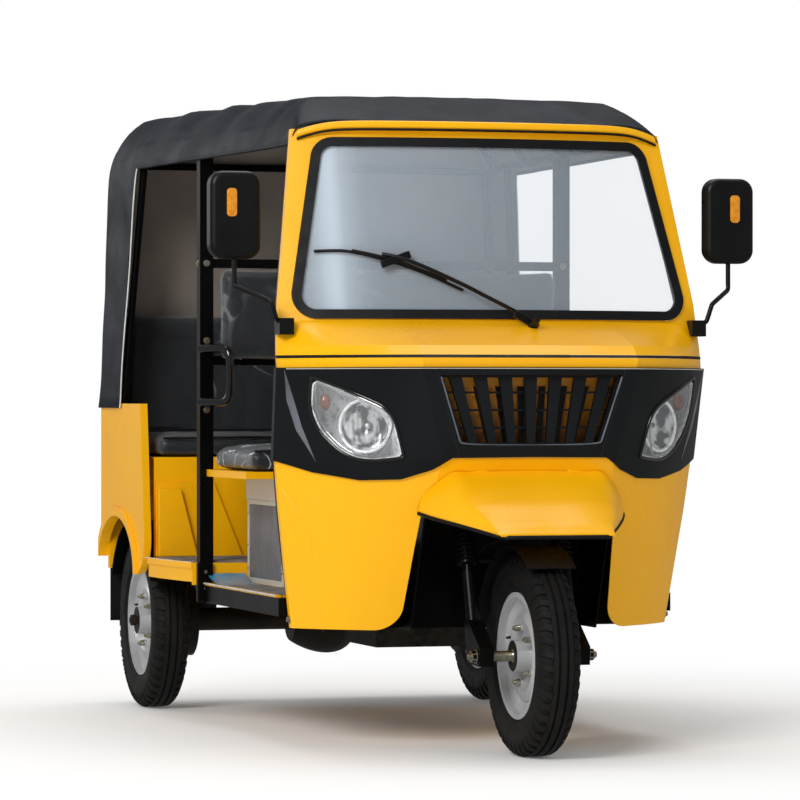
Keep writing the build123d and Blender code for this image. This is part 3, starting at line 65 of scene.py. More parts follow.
def facing(direction, axis="Z"):
    # The turn that points an object's axis along a direction.
    return direction.to_track_quat(axis, "Y").to_matrix().to_4x4()


cameraData = bpy.data.cameras.new("camera")
cameraData.lens = cameraSettings["lens"]
cameraData.sensor_width = cameraSettings["film"]
cameraData.clip_end = cameraSettings["farthest"]
camera = linked("camera", cameraData)
camera.matrix_world = (Matrix.Translation(Vector(cameraSettings["place"]) * mm)
                       @ turned("Z", -cameraSettings["heading"]) @ turned("X", 90))
bpy.context.scene.camera = camera
bpy.context.scene.view_settings.view_transform = "Standard"


def linear(code):
    # sRGB hex to linear RGBA.
    parts = [int(code[i:i + 2], 16) / 255 for i in (1, 3, 5)]
    return tuple(c / 12.92 if c <= 0.04045 else ((c + 0.055) / 1.055) ** 2.4 for c in parts) + (1.0,)


def addNode(tree, kind, values=None, links=None, **settings):
    # A source may be a socket, or a node that stands for its first output.
    node = tree.nodes.new("ShaderNode" + kind)
    for name, value in settings.items():
        setattr(node, name, value)
    for socket, value in (values or {}).items():
        node.inputs[socket].default_value = value
    for socket, source in (links or {}).items():
        tree.links.new(source if hasattr(source, "is_output") else source.outputs[0], node.inputs[socket])
    return node


studio = {
    "floorColour": "#FAFAF9",
    "floorSize": 60.0,  # metres
    "fadeFrom": 0.6,  # metres from the middle, where the floor starts to turn into the white backdrop
    "fadeTo": 3.4,
    "ambient": 0.44,
    "mirrored": 0.24,  # how bright the surroundings look in a reflection
    "lamps": [  # place and size in metres, watts and whether reflections show it
        ((-6.5, -7.5, 6.0), 4.0, 690, True),
        ((7.0, -6.0, 3.0), 4.0, 40, False),
        ((0.5, 2.0, 7.5), 5.0, 240, True),
        ((-5.0, 7.0, 3.5), 4.0, 100, True),
    ],
    "aim": (0.0, 0.0, 0.9),
}
white = (1, 1, 1, 1)

world = bpy.data.worlds.new("studio")
bpy.context.scene.world = world
world.use_nodes = True
tree = world.node_tree
tree.nodes.clear()
path = addNode(tree, "LightPath")
seen = addNode(tree, "Math", operation="MAXIMUM",
               links={0: path.outputs["Is Camera Ray"], 1: path.outputs["Is Transmission Ray"]})
strength = addNode(tree, "MapRange", {"To Min": studio["ambient"], "To Max": 1.0}, {"Value": seen})
strength = addNode(tree, "Math", {1: studio["mirrored"] - studio["ambient"]},
                   {0: path.outputs["Is Glossy Ray"], 2: strength}, operation="MULTIPLY_ADD")
light = addNode(tree, "Background", {"Color": white}, {"Strength": strength})
addNode(tree, "OutputWorld", links={"Surface": light})

for number, (place, size, watts, reflected) in enumerate(studio["lamps"]):
    lamp = bpy.data.lights.new(f"softbox{number}", "AREA")
    lamp.size = size
    lamp.energy = watts
    holder = linked(lamp.name, lamp)
    holder.visible_glossy = reflected
    holder.matrix_world = Matrix.Translation(place) @ facing(Vector(studio["aim"]) - Vector(place), "-Z")


# Building helpers. Their sizes and places are in mm.
def finished(name, shape, material, body="body", smooth=True):
    # Turns a bmesh or a mesh into a piece that rides on a body.
    mesh = meshOf(shape, name) if isinstance(shape, bmesh.types.BMesh) else shape
    piece = linked(name, mesh)
    for one in material if isinstance(material, list) else [material]:
        mesh.materials.append(one)
    for face in mesh.polygons:
        face.use_smooth = smooth
    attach(piece, body)
    return piece


def meshOf(shape, name, outwards=True):
    # Turns a bmesh into a mesh, with its faces outwards.
    if outwards:
        bmesh.ops.recalc_face_normals(shape, faces=shape.faces)
    mesh = bpy.data.meshes.new(name)
    shape.to_mesh(mesh)
    shape.free()
    return mesh


def facingUp(mesh):
    # An open sheet with its outside upwards.
    if sum(p.normal.z * p.area for p in mesh.polygons) < 0:
        mesh.flip_normals()
    return mesh


def softened(piece, width, segments=2):
    bevel = piece.modifiers.new("edges", "BEVEL")
    bevel.width = width * mm
    bevel.segments = segments
    bevel.limit_method = "ANGLE"
    bevel.angle_limit = math.radians(35)
    return piece


def thickened(piece, thickness):
    wall = piece.modifiers.new("sheet", "SOLIDIFY")
    wall.thickness = thickness * mm
    return wall


def subdivided(piece, levels):
    rounding = piece.modifiers.new("rounding", "SUBSURF")
    rounding.levels = rounding.render_levels = levels


def addBlock(shape, first, second, material=0):
    # A box between two opposite corners, added to a bmesh.
    low = Vector(map(min, first, second)) * mm
    high = Vector(map(max, first, second)) * mm
    made = bmesh.ops.create_cube(
        shape, size=1, matrix=Matrix.Translation((low + high) / 2) @ Matrix.Diagonal((*(high - low), 1)))
    for face in {f for v in made["verts"] for f in v.link_faces}:
        face.material_index = material
    return made["verts"]


def addRod(shape, start, end, radius, radiusEnd=None, corners=24):
    # A closed cylinder or cone between two points, added to a bmesh.
    start, end = Vector(start) * mm, Vector(end) * mm
    run = end - start
    bmesh.ops.create_cone(
        shape, cap_ends=True, segments=corners, radius1=radius * mm,
        radius2=(radius if radiusEnd is None else radiusEnd) * mm, depth=run.length,
        matrix=Matrix.Translation((start + end) / 2) @ facing(run))


def addRing(shape, section, steps):
    # A closed section of (x, radius) points, spun round the X axis into a bmesh.
    ring = [shape.verts.new(Vector((x, 0, radius)) * mm) for x, radius in section]
    joined = [shape.edges.new((a, b)) for a, b in zip(ring, ring[1:] + ring[:1])]
    bmesh.ops.spin(shape, geom=ring + joined, cent=(0, 0, 0), axis=(1, 0, 0), angle=math.tau, steps=steps,
                   use_merge=True)
    bmesh.ops.remove_doubles(shape, verts=shape.verts, dist=0.02 * mm)


def roundEdges(shape, edges, radius, segments):
    bmesh.ops.bevel(shape, geom=edges, offset=radius * mm, segments=segments, profile=0.5, affect="EDGES",
                    material=-1)


def shift(shape, place):
    bmesh.ops.translate(shape, verts=shape.verts, vec=Vector(place) * mm)


def grid(columns, rows, place):
    # A sheet whose points come from place(u, v), u from -1 to 1 and v from 0 to 1.
    shape = bmesh.new()
    bmesh.ops.create_grid(shape, x_segments=columns, y_segments=rows, size=1)
    for vert in shape.verts:
        vert.co = place(vert.co.x, (vert.co.y + 1) / 2) * mm
    return shape


def tube(name, points, radius, material, slot=None, body="body", closed=False, resolution=6):
    # A round tube along a smooth run of points; a point that is None is left out.
    curve = bpy.data.curves.new(name, "CURVE")
    curve.dimensions = "3D"
    curve.bevel_depth = radius * mm
    curve.bevel_resolution = 4
    curve.resolution_u = resolution
    curve.use_fill_caps = not closed
    points = [p for p in points if p]
    spline = curve.splines.new("NURBS")
    spline.points.add(len(points) - 1)
    for control, point in zip(spline.points, points):
        control.co = (*(Vector(point) * mm), 1)
    spline.use_cyclic_u = closed
    spline.order_u = 3
    spline.use_endpoint_u = not closed
    holder = linked("run", curve)
    bpy.context.view_layer.update()
    mesh = bpy.data.meshes.new_from_object(holder.evaluated_get(bpy.context.evaluated_depsgraph_get()))
    bpy.data.objects.remove(holder)
    return finished(name, mesh, material, body)


class Surface:
    # The outside of CAD nodes, for laying trim on them.

    def __init__(self, *names):
        self.trees = []
        for name in names:
            shape = bmesh.new()
            shape.from_mesh(nodes[name].data)
            self.trees.append(BVHTree.FromBMesh(shape))
            shape.free()

    def hit(self, start, direction):
        # The nearest point that a ray meets, with its normal and distance, or None.
        best = None
        for tree in self.trees:
            place, normal, face, distance = tree.ray_cast(Vector(start) * mm, Vector(direction))
            if place is not None and (best is None or distance < best[2]):
                best = (place / mm, normal, distance)
        return best

    def front(self, x, z, lift=0.0):
        # The point of the front at x and z, lifted off the surface.
        found = self.hit((x, -1500, z), (0, 1, 0))
        if found is None:
            return None
        place, normal, distance = found
        return place + normal * lift if normal.y < 0 else place - normal * lift


print("helpers ready")


# Materials. Sizes of patterns and depths of relief are in mm.
def surface(name, colour, roughness, metallic=0.0, **sockets):
    # A Principled material; the words after metallic are other sockets with their values.
    material = bpy.data.materials.new(name)
    material.use_nodes = True
    tree = material.node_tree
    shader = tree.nodes["Principled BSDF"]
    sockets.update(Base_Color=linear(colour), Roughness=roughness, Metallic=metallic)
    for socket, value in sockets.items():
        shader.inputs[socket.replace("_", " ")].default_value = value
    return material, tree, shader, addNode(tree, "TexCoord").outputs["Object"]


def perMetre(size):
    # A noise scale whose features are about this size.
    return 1000.0 / size


def patchy(tree, where, size, detail, stretch=None, **values):
    # Soft patches of about this size, longer one way where the coordinates are stretched.
    if stretch:
        where = addNode(tree, "Mapping", {"Scale": stretch}, {"Vector": where})
    return addNode(tree, "TexNoise", {"Scale": perMetre(size), "Detail": detail, **values}, {"Vector": where})


def mottle(tree, shader, where, dark, pale, size, detail=3.0, low=0.35, high=0.65, stretch=(1, 1, 1)):
    # Varies the colour between two by noise.
    ramp = addNode(tree, "ValToRGB", links={"Fac": patchy(tree, where, size, detail, stretch)})
    for stop, place, colour in zip(ramp.color_ramp.elements, (low, high), (dark, pale)):
        stop.position = place
        stop.color = linear(colour)
    tree.links.new(ramp.outputs[0], shader.inputs["Base Color"])


def roughen(tree, shader, where, size, low, high):
    # Varies the roughness by noise, as handling and dust do.
    spread = addNode(tree, "MapRange", {"From Min": 0.3, "From Max": 0.7, "To Min": low, "To Max": high},
                     {"Value": patchy(tree, where, size, 4.0)})
    tree.links.new(spread.outputs[0], shader.inputs["Roughness"])


def relief(tree, shader, height, depth, before=None):
    # Bump from a height, on top of the bump before it.
    links = {"Height": height}
    if before:
        links["Normal"] = before
    bump = addNode(tree, "Bump", {"Strength": 1.0, "Distance": depth * mm}, links)
    tree.links.new(bump.outputs[0], shader.inputs["Normal"])
    return bump


def grain(tree, shader, where, size, depth, before=None, stretch=(1, 1, 1), detail=2.0):
    relief(tree, shader, patchy(tree, where, size, detail, stretch), depth, before)


def dustFrom(tree, shader, where, colour, topHeight, amount):
    # Road dust that thins out upwards from the ground to topHeight.
    split = addNode(tree, "SeparateXYZ", links={"Vector": where})
    fade = addNode(tree, "MapRange", {"From Min": 0.0, "From Max": topHeight * mm, "To Min": amount,
                   "To Max": 0.0}, {"Value": split.outputs["Z"]})
    share = addNode(tree, "Math", operation="MULTIPLY", links={0: fade, 1: patchy(tree, where, 60, 6.0)})
    base = shader.inputs["Base Color"]
    mixer = addNode(tree, "Mix", {"B": linear(colour)}, {"Factor": share, "A": base.links[0].from_socket},
                    data_type="RGBA")
    tree.links.new(mixer.outputs["Result"], base)


def worn(name, base, mottled, grained=None, rough=None, dust=None, fine=None, **sockets):
    # A material with uneven colour, and grain, uneven roughness and dust where they are given.
    # base is colour, roughness and metallic; fine is further words for the grain.
    made = surface(name, *base, **sockets)
    mottle(*made[1:], *mottled)
    if rough:
        roughen(*made[1:], *rough)
    if grained:
        grain(*made[1:], *grained, **(fine or {}))
    if dust:
        dustFrom(*made[1:], *dust)
    return made[0]


def enamel(name, dark, pale, roughness, dust, coat=0.0, shine=0.45):
    # Stoved enamel on pressed steel: smooth, glossy, a faint orange peel that breaks up reflections.
    return worn(name, (dark, roughness), (dark, pale, 420), (7, 0.035), (160, roughness * 0.85, roughness * 1.2),
                ("#B49A6E", 700, dust), Coat_Weight=coat, Coat_Roughness=0.08, Specular_IOR_Level=shine)


def patterned(name, base, mottled, kind, scale, depth, output="Fac", distortion=0.0, **sockets):
    # A material with a moulded or pressed pattern. A wave's scale of 60 sets its ribs 5 mm apart.
    material, tree, shader, where = surface(name, *base, **sockets)
    mottle(tree, shader, where, *mottled)
    pattern = addNode(tree, kind, {"Scale": scale}, {"Vector": where})
    if distortion:
        pattern.inputs["Distortion"].default_value = distortion
    relief(tree, shader, pattern.outputs[output], depth)
    return material


# Stoved enamel on pressed steel: even warm yellow with a clear gloss
yellowEnamel = enamel("yellowStovedEnamel", "#F6B003", "#F9B606", 0.30, 0.03, 0.12, 0.28)
# Black stoved enamel on square tube: glossy, shows pale edges of sky
blackEnamel = enamel("blackStovedEnamel", "#050506", "#080809", 0.28, 0.01, shine=0.10)
# Chassis black, brushed on: duller, dustier
chassisBlack = enamel("brushedChassisBlack", "#060606", "#0C0B0B", 0.5, 0.10, shine=0.22)
# Cream enamel on the engine cover's lid and corner strips
creamEnamel = enamel("creamStovedEnamel", "#C2BDB0", "#CCC7BA", 0.42, 0.05, 0.1)
# Silver wheel enamel over pressed steel: metallic flake, soft highlights
silverEnamel = worn("silverWheelEnamel", ("#C9CACC", 0.34, 0.35), ("#B9BBBE", "#D2D3D5", 120), (2.2, 0.02),
                    dust=("#8C8272", 520, 0.35), Coat_Weight=0.3)

# Charcoal ABS, injection moulded with a fine spark grain: soft sheen, no sharp reflections
charcoalAbs = worn("charcoalMouldedAbs", ("#121416", 0.44), ("#101214", "#141719", 260), (1.6, 0.05),
                   (90, 0.36, 0.47), Specular_IOR_Level=0.22)
# Grey ABS inlay beside the lamp, painted a light grey; also the painted highlight round the grille opening
greyAbs = worn("paintedGreyAbs", ("#565B61", 0.32), ("#4C5157", "#666B71", 60), (1.6, 0.03))
# Black ABS for grips, mirror backs and levers, also used for the painted shadow plates behind the grille
blackAbs = worn("blackMouldedAbs", ("#0B0C0D", 0.38), ("#090A0B", "#0E0F10", 90), (1.4, 0.06),
                Specular_IOR_Level=0.28)
# Gloss black trim
glossBlack = worn("glossBlackAbs", ("#0B0C0D", 0.12), ("#0A0B0C", "#101113", 80), (12, 0.02), Coat_Weight=0.6)

# Extruded EPDM rubber: matt, slightly uneven; also the painted shadow line under the visor
epdmRubber = worn("extrudedEpdmRubber", ("#0F1012", 0.50), ("#0D0E10", "#131416", 70), (3, 0.05),
                  (40, 0.48, 0.66), Specular_IOR_Level=0.25)
# Vulcanised tyre rubber: dull black, mould dust in the grooves
tyreRubber = worn("vulcanisedTyreRubber", ("#0D0D0E", 0.70), ("#0B0B0C", "#131312", 38, 6), (2.4, 0.10),
                  (30, 0.62, 0.86), ("#5C554B", 420, 0.14), {"detail": 5}, Specular_IOR_Level=0.28)

# Laminated float glass: clear, faint blue; its opacity is painted reflection of the pale surroundings, a white haze
# with a brighter painted reflection streak where it curves round to the pillar
glassForm = {
    "from": -0.6,  # metres, x of the streak's places 0 and 1
    "to": 0.6,
    "rightEdge": 0.2,  # how opaque
    "paintedReflection": ((0.05, 0.26), (0.10, 0.40), (0.135, 0.86), (0.16, 0.40), (0.22, 0.24), (0.60, 0.22)),
    "leftEdge": 0.12,
}
clearGlass, tree, shader, where = surface("laminatedFloatGlass", "#E6F0F6", 0.02, Alpha=0.13, IOR=1.52,
                                          Coat_Weight=1.0, Coat_Roughness=0.02)
mottle(tree, shader, where, "#CBDAE8", "#DCE7F1", 900)
split = addNode(tree, "SeparateXYZ", links={"Vector": where})
across = addNode(tree, "MapRange", {"From Min": glassForm["from"], "From Max": glassForm["to"]},
                 {"Value": split.outputs["X"]})
# Painted reflection: the opacity across the glass, pale haze, brighter in a streak near the pillar
paintedReflection = addNode(tree, "ValToRGB", links={"Fac": across})
paintedReflection.color_ramp.interpolation = "B_SPLINE"
for place, level in glassForm["paintedReflection"]:
    paintedReflection.color_ramp.elements.new(place).color = (level, level, level, 1)
for stop, level in ((0, glassForm["rightEdge"]), (-1, glassForm["leftEdge"])):
    paintedReflection.color_ramp.elements[stop].color = (level, level, level, 1)
tree.links.new(paintedReflection.outputs[0], shader.inputs["Alpha"])

# Polycarbonate lens: clear, hard coated
lensPolycarbonate = worn("clearLensPolycarbonate", ("#F2F6F8", 0.03), ("#E9EEF2", "#F6F9FB", 60), (60, 0.05),
                         Alpha=0.07, IOR=1.58, Coat_Weight=1.0, Coat_Roughness=0.03)
# Vacuum aluminised reflector: a bright mirror with shallow flutes; the dark and bright patches in its colour, on a
# half metallic surface, are painted reflections
aluminised = patterned("aluminisedReflector", ("#E4E5E7", 0.12, 0.5),
                       ("#4E5052", "#F4F5F6", 30, 2, 0.42, 0.56, (1, 1, 0.6)), "TexWave", 22.0, 0.5, distortion=0.6)
# The same coating on the lamp's flat surround and rings, with small pits: its pale, barely metallic satin colour is
# painted reflection of the bright surroundings
reflectionPaintedSurround = patterned("surroundPaintedReflection", ("#E9EAEB", 0.28, 0.2),
                           ("#B4B6B8", "#F6F7F8", 16, 3, 0.34, 0.5), "TexVoronoi", perMetre(9), 0.8, "Distance")
# Turn signal's bulb, dipped in dark amber
dippedBulb = worn("dippedAmberBulb", ("#6B300F", 0.2), ("#55240A", "#8A4416", 18), (12, 0.1), Coat_Weight=0.6)
# Bright chromium plate for the lamp edges
chromePlate = worn("chromiumPlate", ("#D9DBDD", 0.09, 1.0), ("#CFD1D4", "#E4E5E7", 60), (30, 0.05))
# Silvered mirror glass
mirrorGlass = worn("silveredMirrorGlass", ("#DDE2E6", 0.03, 1.0), ("#D6DBE0", "#E6EAED", 90), (300, 0.1))
# Amber acrylic, moulded with small prisms
amberAcrylic = patterned("amberAcrylic", ("#D98A14", 0.18), ("#CF7F10", "#DF9420", 14), "TexWave", 60.0, 0.5,
                         Coat_Weight=0.5)
# Red acrylic, the same with wider prisms
redAcrylic = patterned("redAcrylic", ("#A30D0C", 0.15), ("#8A0908", "#B51412", 14), "TexWave", 40.0, 0.7,
                       Coat_Weight=0.7)

# Zinc plated and yellow passivated steel, for nuts and the axle
zincSteel = worn("passivatedZincSteel", ("#B9B394", 0.30, 1.0), ("#A8A07C", "#C8C6BA", 8), (3, 0.05))
# Extruded aluminium edge trim, anodised matt and pale: fine drawn lines along Y
anodised = worn("anodisedAluminium", ("#D2D1CB", 0.38, 0.3), ("#C6C5BF", "#DEDDD8", 30), (5, 0.10),
                fine={"stretch": (1, 0.05, 1)})
# Aluminised steel exhaust, heat tinted
exhaustSteel = worn("aluminisedExhaustSteel", ("#6E6963", 0.48, 0.9), ("#4E453D", "#857F78", 60, 6), (5, 0.15))
# Sand cast iron of the engine
castIron = worn("sandCastIron", ("#2A2927", 0.66, 0.5), ("#201F1D", "#383632", 26, 6), (2, 0.3),
                fine={"detail": 6})

# Ribbed PVC floor mat: grey, worn paler on the ribs
matPvc = worn("ribbedFloorPvc", ("#77726E", 0.58), ("#67625E", "#8A8580", 45, 5), (2.5, 0.12))
# Blue protective polyethylene, still on the floor
blueFilm = worn("blueProtectiveFilm", ("#1F86B4", 0.28), ("#1A7BA8", "#2F97C4", 60), (24, 0.9), Coat_Weight=0.4)
# Ribbed grey sheet round the engine
ribbedGrey, tree, shader, where = surface("ribbedGreySheet", "#6A6C70", 0.52)
mottle(tree, shader, where, "#626468", "#717377", 120)
ribs = addNode(tree, "TexWave", {"Scale": 14.0}, {"Vector": where}, bands_direction="DIAGONAL")
relief(tree, shader, ribs.outputs["Fac"], 0.9)
# White PVC piping
whitePiping = worn("whitePvcPiping", ("#D9D9D6", 0.42), ("#CFCFCB", "#E2E2E0", 30), (3, 0.06))

# PVC coated seat cover with a pressed leather grain, black
seatVinyl, tree, shader, where = surface("leatherGrainVinyl", "#0E1013", 0.40, Specular_IOR_Level=0.35)
mottle(tree, shader, where, "#0C0E11", "#13161A", 130)
cells = addNode(tree, "TexVoronoi", {"Scale": perMetre(5)}, {"Vector": where}, feature="DISTANCE_TO_EDGE")
grain(tree, shader, where, 45, 0.8, relief(tree, shader, cells.outputs["Distance"], 0.5))


def coatedCloth(name, dark, pale, roughness, shine=0.16):
    # PVC coated canvas: the 2 mm threads show through the coating, drawn at 4 mm so that they show.
    material, tree, shader, where = surface(name, dark, roughness, Specular_IOR_Level=shine)
    mottle(tree, shader, where, dark, pale, 190, 5)
    roughen(tree, shader, where, 120, roughness - 0.08, roughness + 0.1)
    threads = [addNode(tree, "TexWave", {"Scale": 78.0}, {"Vector": where},
                       bands_direction=direction).outputs["Fac"] for direction in "XYZ"]
    both = addNode(tree, "Math", operation="MULTIPLY", links={0: threads[0], 1: threads[1]})
    weave = addNode(tree, "Math", operation="ADD", links={0: both, 1: threads[2]})
    grain(tree, shader, where, 70, 1.6, relief(tree, shader, weave, 0.10), detail=4)
    return material


# Outside of the canopy: charcoal, with a blue cast in its colour that is painted reflection of the surroundings
canopyCloth = coatedCloth("coatedCanvasCharcoal", "#1B1F25", "#252A31", 0.46, 0.08)
# Its uncoated inside: grey brown
canopyLining = coatedCloth("uncoatedCanvasLining", "#857C74", "#958B82", 0.72)


def clearFilm(name, fold, creased, strength):
    # Polyethylene wrapping film: clear, soft folds that catch the light, and a few sharp creases drawn as painted
    # highlights; a pale layer is mixed in along them, and more of it where the film is seen edge on, as painted
    # sheen.
    # fold is their size, creased the part of the film with creases, strength how bright their painted highlights
    # are.
    material, tree, shader, where = surface(name, "#DDE4EA", 0.14)
    folds = relief(tree, shader, patchy(tree, where, fold, 3.0, Distortion=0.9), 14)
    lines = addNode(tree, "TexWave", {"Scale": perMetre(fold) / 3.2, "Distortion": 14.0, "Detail": 2.0,
                    "Detail Scale": 1.4}, {"Vector": where}, bands_direction="DIAGONAL")
    # Painted highlight: pale lines along the creases
    crease = addNode(tree, "MapRange", {"From Min": 0.975, "To Max": strength}, {"Value": lines.outputs["Fac"]})
    patch = addNode(tree, "MapRange", {"From Min": 0.60 - creased, "From Max": 0.70 - creased},
                    {"Value": patchy(tree, where, fold * 2, 1.0)})
    crease = addNode(tree, "Math", operation="MULTIPLY", links={0: crease, 1: patch})
    # Painted sheen: the pale layer shows more where the film is seen edge on
    rim = addNode(tree, "LayerWeight", {"Blend": 0.3}, {"Normal": folds})
    share = addNode(tree, "Math", {1: 0.30, 2: 0.02}, {0: rim.outputs["Facing"]}, operation="MULTIPLY_ADD")
    share = addNode(tree, "Math", operation="ADD", use_clamp=True, links={0: share, 1: crease})
    through = addNode(tree, "BsdfTransparent")
    mixer = addNode(tree, "MixShader", links={0: share, 1: through, 2: shader})
    tree.links.new(mixer.outputs[0], tree.nodes["Material Output"].inputs["Surface"])
    return material


# Drawn tight over the backrests and the rear cushion, loose and creased over the driver's cushion
tightFilm = clearFilm("tightPolyethylene", 110, 0.08, 0.14)
looseFilm = clearFilm("crinkledPolyethylene", 60, 0.26, 0.7)

# Yellow enamel in the pocket behind the grille: it gets darker and browner downwards, away from the sky
panEnamel, tree, shader, where = surface("shadedPanEnamel", "#6B3F08", 0.5, Specular_IOR_Level=0.3)
split = addNode(tree, "SeparateXYZ", links={"Vector": where})
depth = addNode(tree, "MapRange", {"From Min": 0.82, "From Max": 1.0}, {"Value": split.outputs["Z"]})
ramp = addNode(tree, "ValToRGB", links={"Fac": depth})
ramp.color_ramp.elements[0].color = linear("#6E400A")
ramp.color_ramp.elements[0].position = 0.1
ramp.color_ramp.elements[1].color = linear("#D08A22")
tree.links.new(ramp.outputs[0], shader.inputs["Base Color"])
grain(tree, shader, where, 5, 0.05)

nodeMaterials = {
    yellowEnamel: "nose_panel cowl_panel roof_visor front_hood floor_pan floor_trims side_skirts rear_sides "
                  "rear_panel rear_seat_base driver_seat_base",
    panEnamel: "grille_pan",
    blackEnamel: "door_frame canopy_frame grab_handles steering_neck wheel_housing rear_wheel_housings "
                 "front_fork fork_springs plate_bracket brake_pedal",
    chassisBlack: "chassis rear_axle leaf_springs drive_shaft",
    silverEnamel: "front_rim rear_right_rim rear_left_rim",
    charcoalAbs: "front_mask grille dashboard",
    blackAbs: "mirrors wiper handlebar",
    epdmRubber: "cowl_seal windscreen_gasket front_mudguard",
    clearGlass: "windscreen_glass",
    lensPolycarbonate: "headlamp_lenses",
    reflectionPaintedSurround: "headlamp_buckets",
    ribbedGrey: "underseat_box",
    creamEnamel: "underseat_lid",
    castIron: "engine_block",
    exhaustSteel: "exhaust",
    redAcrylic: "tail_lamps",
}
for material, names in nodeMaterials.items():
    for name in names.split():
        nodes[name].data.materials.clear()
        nodes[name].data.materials.append(material)
print("materials ready:", len(bpy.data.materials))


# Canopy
canopyForm = {
    # y, half width at the hem, half width and height of the eave, half width and height of the roof's edge, crown
    "rows": [
        (-660, 531, 524, 1642, 420, 1772, 1790),
        (-362, 539, 530, 1648, 428, 1772, 1786),
        (330, 600, 573, 1658, 455, 1794, 1808),
        (950, 650, 608, 1666, 500, 1804, 1820),
        (1330, 652, 630, 1640, 540, 1800, 1815),
    ],
    "foot": 880.0,  # height that the rows' hem width is for
    "roofShare": 0.42,  # part of the way from crown to hem where the roof's edge is
    "eaveShare": 0.68,  # and where the eave is
    "eaveBulge": 15.0,
    "frontEdge": (-556.0, 1691.5),  # y at the corner and z above the visor
    "frontDrop": 20.0,  # how far the front edge drops at the corners
    "frontBow": 58.0,  # how far the front edge curves forwards in the middle
    "frontHalf": 540.0,
    "frontBlend": 190.0,  # how far behind the edge the curve has died out
    "ridge": (-366.0, 1777.0),
    "climb": 420.0,  # how far behind the ridge the roof still rises
    "roofEnd": (1120.0, 1826.0),
    "shoulder": (1262.0, 1700.0),
    "rear": 1296.0,
    "turnDown": 0.3125,  # part of the back wall's height over which the cloth gets to the rear
    "tuck": 1.2,  # how late the back wall narrows
    "rounding": 16.0,  # where the arch meets the roof's profile
    "wallShare": 0.80,  # part of the cloth's length before it turns down at the rear
    "eaveHem": (1628.0, 1640.0),  # lower edge along the doorways, at the y below
    "eaveY": (-500.0, 950.0),
    "lowHem": 912.0,  # lower edge behind the doorways
    "drop": (950.0, 1002.0),  # y where the hem goes down
    "bows": [-362, -240, 60, 330, 720, 1100],
    "sag": 6.0,  # how far the cloth falls in between two bows
    "fullSpan": 280.0,  # bows nearer than this let it sag less
    # depth, size along x, y and z, and where in the noise, of the broad and the small folds
    "folds": ((7.5, (210, 330, 170), (3, 7, 1)), (2.2, (80, 150, 70), (11, 2, 5))),
    "frontFolds": 0.35,  # how much of them is left in front of the ridge
    "roundFrom": 1225.0,  # y behind which the roof's corners are smoothed
    "cornerHollow": (-300.0, 42.0, 4.0),  # middle, half width and depth of the hollow behind the front corner
    "mesh": (132, 150),
    "cloth": 3.0,
    "roll": 2.0,  # metres
    "used": 0.9,  # part of the roll's width that isn't hem
}
cornerForm = {"from": 400.0, "to": 514.0}  # x over which the canopy's and the visor's front edges drop


def between(a, b, share):
    return a + (b - a) * share


def limited(value, low=0.0, high=1.0):
    return max(low, min(high, value))


def cornerDrop(x):
    return max(0, (abs(x) - cornerForm["from"]) / (cornerForm["to"] - cornerForm["from"])) ** 2


def canopyRow(y):
    rows = canopyForm["rows"]
    y = limited(y, rows[0][0], rows[-1][0])
    front, back = next(pair for pair in zip(rows, rows[1:]) if y <= pair[1][0])
    share = (y - front[0]) / (back[0] - front[0])
    return [between(a, b, share) for a, b in zip(front, back)]


def canopySection(y, share, hem):
    # Where the cloth is at y, as x and z: share 0 is the crown and 1 the hem.
    y, hemX, eaveX, eaveZ, edgeX, edgeZ, crown = canopyRow(y)
    roof, eave, foot = canopyForm["roofShare"], canopyForm["eaveShare"], canopyForm["foot"]
    if share < roof:
        t = share / roof
        return edgeX * t, crown + (edgeZ - crown) * t * t
    if share < eave:
        t = (share - roof) / (eave - roof)
        along = Vector((eaveX - edgeX, eaveZ - edgeZ))
        out = Vector((-along.y, along.x)).normalized() * canopyForm["eaveBulge"] * 4 * t * (1 - t)
        return edgeX + along.x * t + out.x, edgeZ + along.y * t + out.y
    t = (share - eave) / (1 - eave)
    return between(eaveX, between(hemX, eaveX, (hem - foot) / (eaveZ - foot)), t), between(eaveZ, hem, t)


def frontBow(x):
    return canopyForm["frontBow"] * (1 - (x / canopyForm["frontHalf"]) ** 2)


def roofProfile(x, y):
    # The highest the cloth may be at x and y: it slopes up from the visor and rounds off at the rear.
    front, ridge = canopyForm["frontEdge"], canopyForm["ridge"]
    if y < ridge[0]:
        start = front[0] - frontBow(x)
        low = front[1] - canopyForm["frontDrop"] * cornerDrop(x)
        return between(low, ridge[1], max(0, y - start) / (ridge[0] - start))
    end, shoulder = canopyForm["roofEnd"], canopyForm["shoulder"]
    if y < end[0]:
        return between(ridge[1], end[1], min(1, (y - ridge[0]) / canopyForm["climb"]))
    t = min(1, (y - end[0]) / (shoulder[0] - end[0]))
    return end[1] - (end[1] - shoulder[1]) * (1 - math.sqrt(max(0, 1 - t * t)))


def softLower(a, b, reach):
    # The lower of two heights, rounded where they meet.
    t = limited(0.5 + (b - a) / (2 * reach))
    return b + (a - b) * t - reach * t * (1 - t)


def hemHeight(y):
    (first, last), (start, end) = canopyForm["eaveY"], canopyForm["drop"]
    eave = between(*canopyForm["eaveHem"], (y - first) / (last - first))
    return between(eave, canopyForm["lowHem"], limited((y - start) / (end - start)))


def bowTension(y):
    # 0 over a bow and 1 halfway between two.
    bows = canopyForm["bows"]
    for front, back in zip(bows, bows[1:]):
        if front <= y <= back:
            return (math.sin(math.pi * (y - front) / (back - front)) ** 2
                    * min(1, (back - front) / canopyForm["fullSpan"]))
    return 0.0


